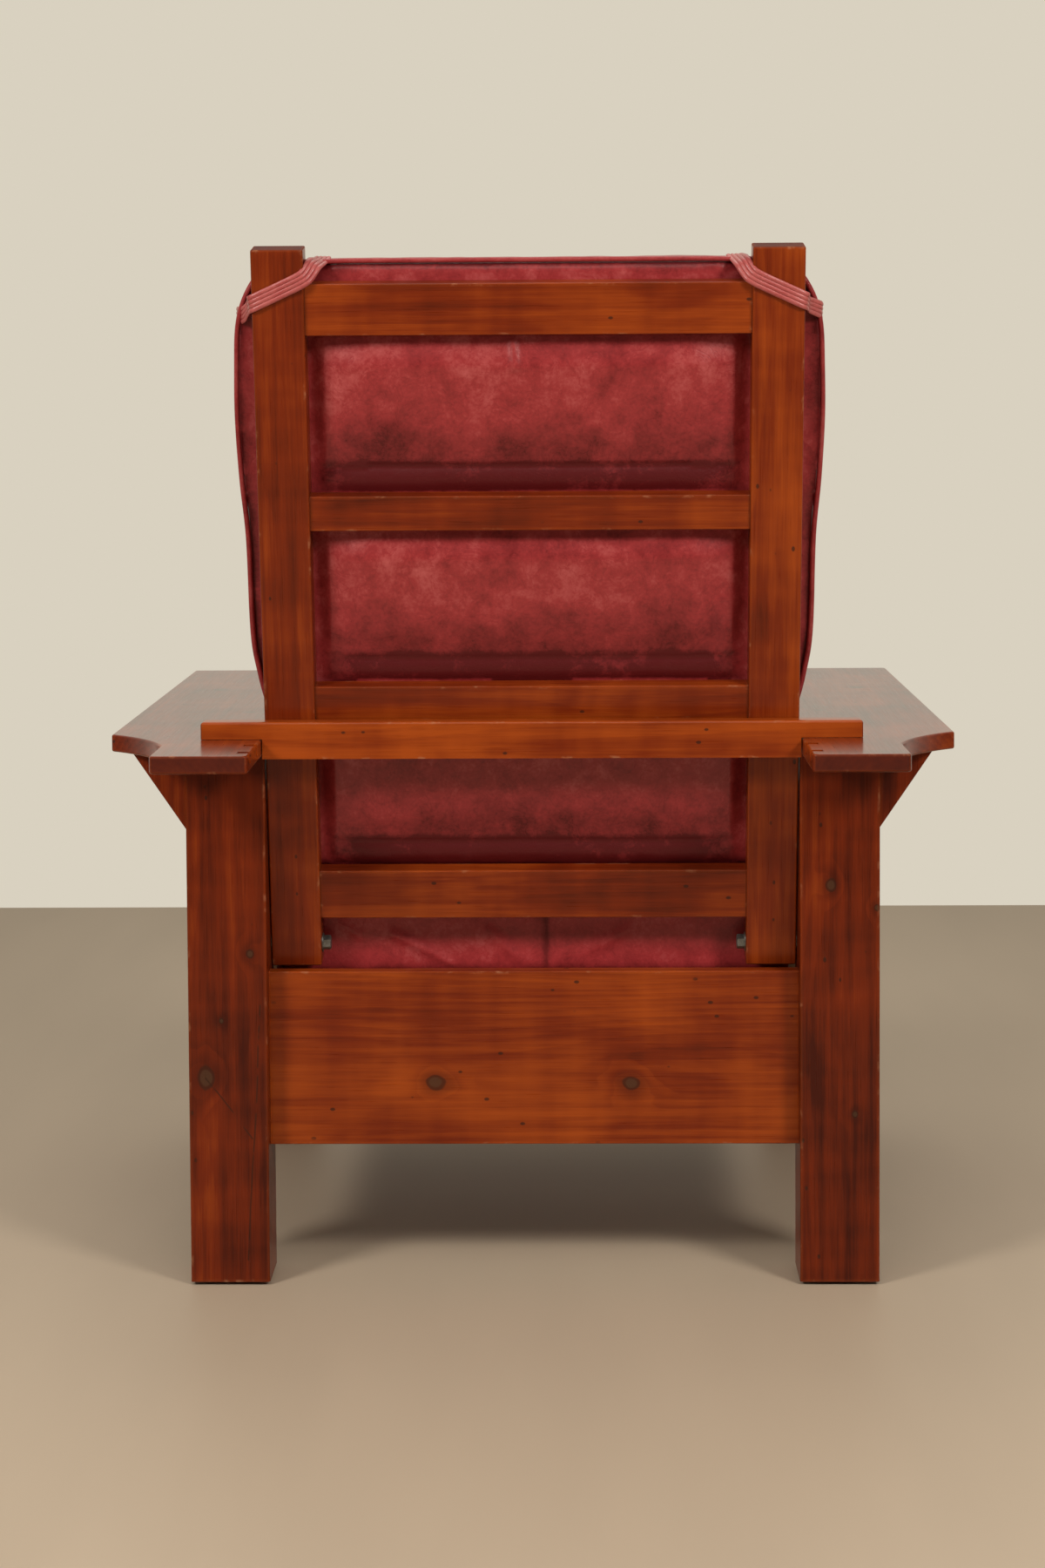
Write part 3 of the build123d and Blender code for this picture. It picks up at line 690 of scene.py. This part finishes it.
def relaxed(points, rounds):
    """A closed line with its corners rounded off."""
    for _ in range(rounds):
        points = [(points[i - 1] + points[i] * 2 + points[(i + 1) % len(points)]) / 4
                  for i in range(len(points))]
    return points


def laid_on(points, piece, lift):
    """A closed line moved onto the surface of a piece, and a little out of it."""
    tree = surface_of(piece)
    laid = []
    for point in points:
        spot, normal, _, _ = tree.find_nearest(point)
        laid.append(spot + normal * lift)
    return relaxed(laid, 6)


def cord(name, points, radius):
    """A round closed cord along a line, as a mesh."""
    curve = bpy.data.curves.new(name, "CURVE")
    curve.dimensions = "3D"
    spline = curve.splines.new("POLY")
    spline.points.add(len(points) - 1)
    for place, point in zip(spline.points, points):
        place.co = (*point, 1)
    spline.use_cyclic_u = True
    curve.bevel_depth = radius
    curve.bevel_resolution = 3
    piece = bpy.data.objects.new(name, curve)
    bpy.context.scene.collection.objects.link(piece)
    only(piece)
    bpy.ops.object.convert(target="MESH")
    shade_smooth(piece)
    return piece


def shade_smooth(piece):
    """Shades one object smooth."""
    only(piece)
    bpy.ops.object.shade_smooth()


def smooth(value, start, end):
    """0 before start and 1 after end, with a smooth rise between them."""
    share = min(1.0, max(0.0, (value - start) / (end - start)))
    return share * share * (3 - 2 * share)


def hump(distance, width):
    """1 at no distance, falling to 0 over a few widths."""
    return exp(-(distance / width) ** 2)


def point_tree(points):
    """A tree that finds the nearest of many points."""
    tree = KDTree(len(points))
    for index, point in enumerate(points):
        tree.insert(point, index)
    tree.balance()
    return tree


def inflate(piece, rims, cushions):
    """Fills a closed mesh with cloth under pressure, held at its rims, and caps how far it swells."""
    near = point_tree(rims)
    held = piece.vertex_groups.new(name="rim")
    before = []
    for vertex, normal in with_normals(piece):
        away = near.find(vertex.co)[2]
        vertex.co -= normal * cushions.shrink * smooth(away, 0, cushions.rim * 3)
        held.add([vertex.index], 1 - smooth(away, cushions.rim * 0.4, cushions.rim), "REPLACE")
        before.append(vertex.co.copy())
    only(piece)
    modifier = piece.modifiers.new("Filling", "CLOTH")
    settings = modifier.settings
    settings.vertex_group_mass = held.name
    settings.use_pressure = True
    settings.uniform_pressure_force = cushions.pressure
    settings.effector_weights.gravity = 0
    settings.quality = 5
    modifier.point_cache.frame_end = cushions.frames
    for step in range(1, cushions.frames + 1):
        bpy.context.scene.frame_set(step)
    bpy.ops.object.modifier_apply(modifier=modifier.name)
    bpy.context.scene.frame_set(1)
    for vertex, start in zip(piece.data.vertices, before):
        move = vertex.co - start
        if move.length > cushions.cap:
            vertex.co = start + move.normalized() * cushions.cap


def beside(x, z, fold):
    """Height of a fold at a place, from its two ends, height and width."""
    (x_start, z_start), (x_end, z_end), height, width = fold
    run_x, run_z = x_end - x_start, z_end - z_start
    share = ((x - x_start) * run_x + (z - z_start) * run_z) / (run_x ** 2 + run_z ** 2)
    if not -0.3 < share < 1.3:
        return 0.0
    inside = min(1.0, max(0.0, share))
    away = ((x - x_start - inside * run_x) ** 2 + (z - z_start - inside * run_z) ** 2) ** 0.5
    return height * hump(away, width)


# Half the width of a seam's groove, and the height and reach of the puckers beside it
SEAM_WIDTH = 0.0085
PUCKER_HEIGHT = 0.0012
PUCKER_REACH = 0.030


def tuck(piece, seams, cushions):
    """Draws the leather in along the seams, puckers it there, and gives how deep each point lies."""
    marks = point_tree([point for seam in seams for point in seam])
    depth = []
    for vertex, normal in with_normals(piece):
        away = marks.find(vertex.co)[2]
        near = hump(away, SEAM_WIDTH)
        soft = exp(-away / PUCKER_REACH)
        ripple = noise.noise(vertex.co * 52.0) * PUCKER_HEIGHT * soft * (1 - near)
        body = noise.noise(vertex.co * 13.0) * 0.0011 + noise.noise(vertex.co * 31.0) * 0.0004
        vertex.co += normal * (ripple + body * (1 - near) - near * cushions.groove)
        # The seam's depth, which becomes painted shade in the leather's colour
        depth.append(near)
    return depth


# How far from the back cushion's top or bottom its front settles, and the straps draw it in
DROOP_REACH = 0.22
RISE_REACH = 0.12
DRAWN_REACH = 0.090


def settled(point, rear, thickness, bottom, top, cushions):
    """Height of a point of the back cushion, whose front is lower at the top and higher below."""
    forward = min(1.0, max(0.0, (rear - point.y) / thickness))
    down = cushions.droop * smooth(point.z, top - DROOP_REACH, top)
    up = cushions.rise * smooth(point.z, bottom + RISE_REACH, bottom)
    return point.z + (up - down) * forward


def drawn_in(point, top, cushions):
    """Place across of a point of the back cushion, whose top corners the straps draw in."""
    share = max(0.0, (point.z - top) / DRAWN_REACH + 1)
    return point.x * (1 - cushions.slim - cushions.drawn * share ** 2)


def mark_painted_shading(piece, depth):
    """Keeps each point's painted shading, the painted shade in seams and creases and the painted highlight
    on the rolls, for the leather's colour.
    """
    attribute = piece.data.attributes.new("crease", "FLOAT", "POINT")
    attribute.data.foreach_set("value", depth)


# Spacing of the points along a cushion's rims, and least distance of its far rim from what it lies on
RIM_SPACING = 0.006
FAR_RIM = 0.090


def stuffed(node, name, into, rims_of, cushions):
    """The filled cover of a cushion's solid in its own frame, and the lines of its welts."""
    piece = copy_of(node, name)
    piece.data.transform(into)
    rims = [relaxed(evenly(ring, RIM_SPACING), 4) for ring in rims_of(sharp_corners(piece))]
    apply_modifier(piece, "REMESH", mode="VOXEL", voxel_size=cushions.voxel)
    apply_modifier(piece, "SMOOTH", factor=0.5, iterations=2)
    inflate(piece, [point for rim in rims for point in rim], cushions)
    apply_modifier(piece, "SUBSURF", levels=1, render_levels=1)
    return piece, rims


def sewn(piece, lines, names, cushions):
    """Sews a cover along the lines of its welts. Gives the welts and how deep each point lies."""
    lines = [laid_on(line, piece, cushions.welt * 0.3) for line in lines]
    depth = tuck(piece, lines, cushions)
    return [cord(name, line, cushions.welt) for name, line in zip(names, lines)], depth


def finish_cushion(piece, welts, leather_finish, welt_finish, node, body):
    """Colours a cover and its welts and makes them ride."""
    shade_smooth(piece)
    piece.data.materials.append(leather_finish)
    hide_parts(node)
    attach(piece, body)
    for welt in welts:
        welt.data.materials.append(welt_finish)
        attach(welt, body)


# Folds of the leather seen from behind: two ends (x, z), height and width
BACK_FOLDS = [
    ((0.0176, 1.090), (0.0150, 1.060), 0.0028, 0.0045),
    ((-0.212, 0.794), (-0.246, 0.797), 0.0012, 0.0040),
    ((0.120, 0.872), (0.020, 0.868), 0.0008, 0.0040),
]
SEAT_FOLDS = [
    ((0.165, 0.394), (0.098, 0.359), 0.0030, 0.0045),
    ((0.0515, 0.397), (0.018, 0.364), 0.0020, 0.0050),
    ((0.224, 0.405), (0.206, 0.393), 0.0020, 0.0040),
    ((-0.110, 0.398), (-0.060, 0.372), 0.0014, 0.0060),
]


def ladder():
    """Where the ladder's stiles and rails stand in the leaned frame."""
    low, high = own_box("back_stile_left")
    rails = sorted((own_box("back_rail_" + name)[0].z, own_box("back_rail_" + name)[1].z)
                   for name in ("lower", "middle", "upper", "top"))
    return low.x, high.x, low.y, own_box("back_rail_top")[0].y, rails


def deck():
    """Height of the slats' top under the seat cushion, as a function of y."""
    tops = [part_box(node)[1] for node in ("seat_slat_5", "seat_slat_1")]
    start, end = sorted(tops, key=lambda corner: corner.y)
    slope = (end.z - start.z) / (end.y - start.y)
    return lambda y: start.z + slope * (y - start.y)


def arch(share, rise):
    """A round arch over shares 0 to 1, steeper at its ends for a low rise."""
    return max(0.0, sin(pi * share)) ** rise


# How far up between two rails the leather creases, with a small roll below and a full one above
CREASE_SHARE = 0.165
SMALL_ROLL = 0.22

# Painted shadow on the small roll below the crease, and painted shade on the crease line between the rolls
SMALL_ROLL_PAINTED_SHADOW = 0.80
LINE_PAINTED_SHADE = 0.80


def roll_share(z, rails):
    """How far the leather swells at a height, 0 behind a rail, and how much painted shading it gets.

    Where the top of a roll gets a painted highlight, the painted shading is below 0; towards its bottom it
    is painted shade.
    """
    for (_, low), (high, _) in zip(rails, rails[1:]):
        if low < z < high:
            share = (z - low) / (high - low)
            if share < CREASE_SHARE:
                # The small roll below the crease lies in painted shadow
                return SMALL_ROLL * arch(share / CREASE_SHARE, 0.8), SMALL_ROLL_PAINTED_SHADOW
            share = (share - CREASE_SHARE) / (1 - CREASE_SHARE)
            full = 0.15 + 0.85 * smooth(share, -0.05, 0.30) * (0.62 + 0.38 * smooth(share, 0, 0.90))
            full *= 1 - 0.55 * smooth(share, 0.74, 1.0)
            # Painted shading: a painted highlight towards the top of the roll, painted shade towards its
            # bottom
            wear_and_painted_sheen = 0.36 - 0.70 * smooth(share, 0, 0.90)
            return full, max(hump(share, 0.06) * LINE_PAINTED_SHADE, wear_and_painted_sheen)
    return 0.0, 0.0


# Share of a roll's swell that is left near a stile, and how far the leather swells outside the stiles
STILE_SWELL = 0.45
OUTER_SWELL = 0.007


class ARMCHAIR_OT_back_cushion(Operator):
    """Makes the back cushion, pressed against the ladder"""
    bl_idname = "armchair.back_cushion"
    bl_label = "Stuff the Back Cushion"

    def press(self, piece, bottom, top, gap):
        """Presses the rear on the ladder, with rolls between its rails. Gives each point's painted
        shading.
        """
        inner, outer, stile_front, rail_front, rails = ladder()
        crest = own_box("back_cushion")[1].y
        painted_shadings = []
        for vertex, normal in with_normals(piece):
            x, depth, z = vertex.co
            swell, crease = roll_share(z, rails)
            from_stile = inner - abs(x)
            full = STILE_SWELL + (1 - STILE_SWELL) * smooth(from_stile, 0, 0.070)
            inside = smooth(from_stile, 0.001, 0.020) * full
            outside = smooth(abs(x) - outer, 0.004, 0.030)
            limit = (stile_front - gap + outside * OUTER_SWELL
                     + inside * (rail_front - stile_front + (crest - rail_front) * swell))
            facing = smooth(normal.y, 0.25, 0.75)
            border = smooth(min(z - bottom, top - z), 0.006, 0.030)
            depth = min(depth, limit)
            depth += (limit - depth) * facing * border
            world = BACK_FRAME @ Vector((x, depth, z))
            depth += facing * sum(beside(world.x, world.z, fold) for fold in BACK_FOLDS)
            vertex.co.y = depth
            # Painted shade and painted highlight of the rolls, on the rear between the stiles
            painted_shadings.append(crease * facing * inside)
        piece.data.update()
        return painted_shadings

    def execute(self, context):
        cushions = context.scene.armchair_cushions
        look = context.scene.armchair_leather
        inner, _, stile_front, _, _ = ladder()

        def rims(corners):
            """The front and the rear rim, leaving out the swells between the stiles."""
            low, high = own_box("back_cushion")
            outside = [c for c in corners
                       if abs(c.x) > inner + 0.004 or c.z < low.z + 0.001 or c.z > high.z - 0.001]
            rear = [c for c in outside if abs(c.y - stile_front) < 0.003]
            front = [c for c in outside if c.y < stile_front - FAR_RIM]
            return [ring_round(ring, Vector((1, 0, 0)), Vector((0, 0, 1))) for ring in (rear, front)]

        piece, (rear_line, front_line) = stuffed(
            "back_cushion", "back_cushion_cover", INTO_BACK, rims, cushions)
        bottom, top = min(c.z for c in rear_line), max(c.z for c in rear_line)
        thickness = stile_front - min(c.y for c in front_line)
        for place in [*(vertex.co for vertex in piece.data.vertices), *front_line, *rear_line]:
            place.x = drawn_in(place, top, cushions)
            place.z = settled(place, stile_front, thickness, bottom, top, cushions)
        piece.data.update()
        painted_shadings = self.press(piece, bottom, top, cushions.gap)
        welts, depth = sewn(piece, [rear_line, front_line], ["back_welt_rear", "back_welt_front"],
                            cushions)
        # The seams' depth and the rolls' marks become the leather's painted shade and painted highlight
        mark_painted_shading(piece, [min(1.0, a + b) for a, b in zip(depth, painted_shadings)])
        for made in [piece, *welts]:
            made.data.transform(BACK_FRAME)
        tones = (look.deep, look.middle, look.pale)
        finish_cushion(piece, welts, leather("back_leather", tones, look),
                       leather("back_welt_leather", (look.deep, look.middle, look.strap), look),
                       "back_cushion", "back")
        return {"FINISHED"}


# Place across, half width and depth of the seam in the seat cushion's rear boxing
BOXING_SEAM, SEAM_HALF, SEAM_DEPTH = -0.014, 0.0035, 0.0022


class ARMCHAIR_OT_seat_cushion(Operator):
    """Makes the seat cushion, with its welts and the seam of its rear boxing"""
    bl_idname = "armchair.seat_cushion"
    bl_label = "Stuff the Seat Cushion"

    def execute(self, context):
        cushions = context.scene.armchair_cushions
        look = context.scene.armchair_leather
        seat_level = deck()

        def rims(corners):
            """The lower and the upper rim."""
            low = [c for c in corners if c.z < seat_level(c.y) + 0.020]
            high = [c for c in corners if c.z > seat_level(c.y) + FAR_RIM]
            return [ring_round(ring, Vector((1, 0, 0)), Vector((0, 1, 0))) for ring in (low, high)]

        piece, (low_line, high_line) = stuffed(
            "seat_cushion", "seat_cushion_cover", Matrix.Identity(4), rims, cushions)
        rear = max(point.y for point in low_line)
        painted_shadings = []
        for vertex, normal in with_normals(piece):
            x, y, z = vertex.co
            facing = smooth(normal.y, 0.4, 0.8)
            floor = seat_level(y) + cushions.gap
            vertex.co.z = max(z, floor) + min(0, floor - z) * smooth(-normal.z, 0.6, 0.9)
            seam = hump(x - BOXING_SEAM, SEAM_HALF)
            folds = sum(beside(x, z, fold) for fold in SEAT_FOLDS)
            vertex.co.y = min(y, rear) + facing * (folds - seam * SEAM_DEPTH)
            # Painted shade in the seam of the rear boxing
            painted_shadings.append(seam * facing)
        piece.data.update()
        welts, depth = sewn(piece, [low_line, high_line], ["seat_welt_lower", "seat_welt_upper"],
                            cushions)
        # The seams' depth and the boxing seam become the leather's painted shade
        mark_painted_shading(piece, [max(a, b * 0.7) for a, b in zip(depth, painted_shadings)])
        # The seat's leather is a lighter copy of the back's, painted light on its shaded rear boxing
        tones = (look.middle * 0.65, look.middle * 1.45, look.pale * 1.15)
        finish_cushion(piece, welts, leather("seat_leather", tones, look, 3.1),
                       leather("seat_welt_leather", (look.deep, look.middle, look.strap), look),
                       "seat_cushion", "frame")
        return {"FINISHED"}


def strap_route(inner, outer, back, head):
    """Points down the middle of the left strap, the way each faces, and its lift off the cover.

    It runs from the cushion's top, over the top seam, round the stile and onto the cushion's side.
    Where the lift is None, the strap doesn't rest on the cushion's cover.
    """
    lift = 0.0024
    half = (outer - inner) / 2
    rows = [
        (-0.018, -back - 0.016, 0.016, (0.0, 0.0, 1.0), 0.002),
        (-0.016, -back + 0.001, 0.011, (-0.2, 0.3, 1.0), 0.005),
        (-0.011, back * 0.30, 0.018, (-0.5, 0.8, 0.8), None),
        (-0.004, back * 0.90, 0.028, (-0.4, 1.0, 0.3), None),
        (0.004, back + lift, 0.034, (0.0, 1.0, 0.0), None),
        (half, back + lift, 0.046, (0.0, 1.0, 0.0), None),
        (2 * half - 0.003, back + lift, 0.058, (0.2, 1.0, 0.0), None),
        (2 * half + lift, back * 0.75, 0.062, (1.0, 0.4, 0.0), None),
        (2 * half + 0.006, -back * 0.2, 0.068, (1.0, 0.2, 0.0), None),
        (2 * half + 0.017, -back - 0.001, 0.076, (1.0, 0.5, 0.0), 0.005),
        (2 * half + 0.022, -back - 0.016, 0.080, (1.0, 0.0, 0.0), 0.002),
    ]
    points = [Vector((inner + x, y, head - down)) for x, y, down, _, _ in rows]
    return points, [Vector(row[3]) for row in rows], [row[4] for row in rows]


def resting(points, piece, lifts):
    """Points moved onto the surface of a piece, and out of it by a lift. None leaves a point."""
    tree = surface_of(piece)
    rested = []
    for point, lift in zip(points, lifts):
        spot, normal, _, _ = tree.find_nearest(BACK_FRAME @ point)
        rested.append(point if lift is None else INTO_BACK @ (spot + normal * lift))
    return rested


def curved(points, steps):
    """A smooth line through points, with a number of steps between each two."""
    line = []
    for i in range(len(points) - 1):
        before, start = points[max(0, i - 1)], points[i]
        end, after = points[i + 1], points[min(len(points) - 1, i + 2)]
        bend = 2 * before - 5 * start + 4 * end - after
        twist = 3 * start - before - 3 * end + after
        for step in range(steps):
            t = step / steps
            line.append((2 * start + (end - before) * t + bend * t ** 2 + twist * t ** 3) / 2)
    return line + [points[-1]]


class ARMCHAIR_OT_straps(Operator):
    """Lays the ribbed straps from the cushion's top seam round the stiles to its side seams"""
    bl_idname = "armchair.straps"
    bl_label = "Fit the Straps"

    width: length("Width", "Width of a strap", 0.0180)
    rib: length("Rib", "Height of a strap's ribs", 0.0011)
    ribs: IntProperty(name="Ribs", description="Ribs along a strap", default=4)

    def band(self, name, route, facings):
        """A ribbed band along a route, with the way its outer side faces at each point."""
        across = self.ribs * 8
        bpy.ops.mesh.primitive_grid_add(x_subdivisions=across, y_subdivisions=len(route) - 1, size=1)
        piece = bpy.context.object
        piece.name = name
        for vertex in piece.data.vertices:
            row = round((vertex.co.y + 0.5) * (len(route) - 1))
            share = vertex.co.x
            ahead = (route[min(len(route) - 1, row + 1)] - route[max(0, row - 1)]).normalized()
            outward = (facings[row] - ahead * facings[row].dot(ahead)).normalized()
            side = ahead.cross(outward)
            ripple = self.rib * abs(sin(pi * self.ribs * (share + 0.5)))
            vertex.co = route[row] + side * share * self.width + outward * ripple
        apply_modifier(piece, "SOLIDIFY", thickness=0.0022, offset=0)
        shade_smooth(piece)
        return piece

    def execute(self, context):
        look = context.scene.armchair_leather
        material = leather("strap_leather", (look.middle, look.strap, look.pale), look)
        low, high = own_box("back_stile_left")
        cover = bpy.data.objects["back_cushion_cover"]
        for side, name in ((1, "left"), (-1, "right")):
            points, facings, lifts = strap_route(low.x, high.x, high.y, high.z)
            mirror = Matrix.Diagonal((side, 1, 1))
            points = resting([mirror @ point for point in points], cover, lifts)
            facings = [mirror @ facing for facing in facings]
            piece = self.band("strap_" + name, curved(points, 8), curved(facings, 8))
            piece.data.transform(BACK_FRAME)
            piece.data.materials.append(material)
            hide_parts("cushion_strap_" + name)
            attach(piece, "back")
        return {"FINISHED"}


# Stage

# Strength of the background's light on the chair, and in gloss away from the wall
SOFT_LIGHT = 0.30
DIM_ROOM = 0.05


def background(world, wall):
    """The wall's colour for the camera and for gloss, and plain soft light for the rest."""
    finish = Finish("background", world)
    rays = finish.node("ShaderNodeLightPath").socket.node
    camera, glossy, clear = (Value(finish, rays.outputs[name]) for name in (
        "Is Camera Ray", "Is Glossy Ray", "Is Transmission Ray"))
    direction = finish.split(finish.node("ShaderNodeTexCoord", output="Generated"))
    ahead = direction[1].step(0.15, -0.55)
    gloss = DIM_ROOM + ahead * (1 - DIM_ROOM)
    seen = camera.high(clear)
    strength = seen + (1 - seen) * (glossy * gloss + (1 - glossy) * SOFT_LIGHT)
    light = finish.node("ShaderNodeBackground", None, {"Color": rgba(wall), "Strength": strength})
    finish.node("ShaderNodeOutputWorld", None, [light])


# The soft lamps: name, place, what it points at, size, power and colour
WARM = (1.0, 0.95, 0.88)
LAMPS = [
    ("left", (1.95, 2.2, 2.25), (0, 0.15, 0.75), 0.7, 48, WARM),
    ("right", (-1.85, 2.3, 2.25), (0, 0.15, 0.75), 0.7, 48, WARM),
    ("top", (0, -0.9, 3.4), (0, 0, 0.6), 2.0, 22, (1.0, 0.97, 0.92)),
    ("ceiling", (0, 2.3, 3.4), (0, 0.2, 0.9), 1.8, 22, WARM),
]


def lamp(name, place, aim, size, power, tint):
    """A square soft lamp that points at a place."""
    bpy.ops.object.light_add(type="AREA", location=place)
    made = bpy.context.object
    made.name = "lamp_" + name
    made.data.shape = "SQUARE"
    made.data.size = size
    made.data.energy = power
    made.data.color = tint
    made.rotation_euler = (Vector(aim) - Vector(place)).to_track_quat("-Z", "Y").to_euler()


class ARMCHAIR_OT_stage(Operator):
    """Sets up the floor, the background, the lamps and the camera"""
    bl_idname = "armchair.stage"
    bl_label = "Set the Stage"

    def execute(self, context):
        stage = context.scene.armchair_stage
        bpy.ops.mesh.primitive_grid_add(x_subdivisions=1, y_subdivisions=1, size=1)
        floor = context.object
        floor.name = "floor"
        corners = ((-4.5, -2.11), (4.5, -2.11), (4.5, 4.5), (-4.5, 4.5))
        around = sorted(floor.data.vertices, key=lambda v: atan2(v.co.y, v.co.x))
        for vertex, (x, y) in zip(around, corners):
            vertex.co = (x, y, 0)
        finish = Finish("pale_floor")
        shade = finish.noise(finish.moved(finish.place(), Scale=(3, 0.6, 1)), 2.0, 3.0)
        pale = [min(1, part * 1.06) for part in stage.floor]
        hue = finish.ramp(shade, [(0.3, stage.floor), (0.7, pale)])
        floor.data.materials.append(finish.surface(Base_Color=hue, Roughness=0.55))
        context.scene.world = bpy.data.worlds.new("studio")
        background(context.scene.world, stage.wall)
        for settings in LAMPS:
            lamp(*settings)
        bpy.ops.object.camera_add(location=stage.camera_place, rotation=stage.camera_turn)
        camera = context.object
        camera.name = "camera"
        camera.data.lens = stage.lens
        camera.data.sensor_width = 36
        camera.data.sensor_fit = "AUTO"
        camera.data.shift_x = (PHOTO_WIDTH / 2 - VIEW_POINT[0]) / PHOTO_HEIGHT
        camera.data.shift_y = (VIEW_POINT[1] - PHOTO_HEIGHT / 2) / PHOTO_HEIGHT
        camera.data.clip_start = 0.05
        camera.data.clip_end = 60
        context.scene.camera = camera
        context.scene.view_settings.view_transform = "Standard"
        return {"FINISHED"}


class ARMCHAIR_PT_panel(Panel):
    """The steps that dress the armchair"""
    bl_idname = "ARMCHAIR_PT_panel"
    bl_label = "Armchair"
    bl_space_type = "VIEW_3D"
    bl_region_type = "UI"
    bl_category = "Armchair"

    def draw(self, context):
        for step in STEPS:
            self.layout.operator(step.bl_idname)
        for group in GROUPS:
            for name in getattr(context.scene, group).bl_rna.properties.keys():
                if name not in ("rna_type", "name"):
                    self.layout.prop(getattr(context.scene, group), name)


GROUPS = {
    "armchair_wood": ArmchairWood,
    "armchair_leather": ArmchairLeather,
    "armchair_cushions": ArmchairCushions,
    "armchair_stage": ArmchairStage,
}
STEPS = [ARMCHAIR_OT_stage, ARMCHAIR_OT_wood, ARMCHAIR_OT_fittings, ARMCHAIR_OT_back_cushion,
         ARMCHAIR_OT_seat_cushion, ARMCHAIR_OT_straps]


def register():
    """Adds the settings, the steps and the panel."""
    for name, group in GROUPS.items():
        bpy.utils.register_class(group)
        setattr(bpy.types.Scene, name, PointerProperty(type=group))
    for step in STEPS:
        bpy.utils.register_class(step)
    bpy.utils.register_class(ARMCHAIR_PT_panel)


def unregister():
    """Takes the panel, the steps and the settings away again."""
    bpy.utils.unregister_class(ARMCHAIR_PT_panel)
    for step in reversed(STEPS):
        bpy.utils.unregister_class(step)
    for name, group in GROUPS.items():
        delattr(bpy.types.Scene, name)
        bpy.utils.unregister_class(group)


def main():
    """Runs every step."""
    register()
    for step in STEPS:
        area, action = step.bl_idname.split(".")
        getattr(getattr(bpy.ops, area), action)()


if __name__ == "__main__":
    main()
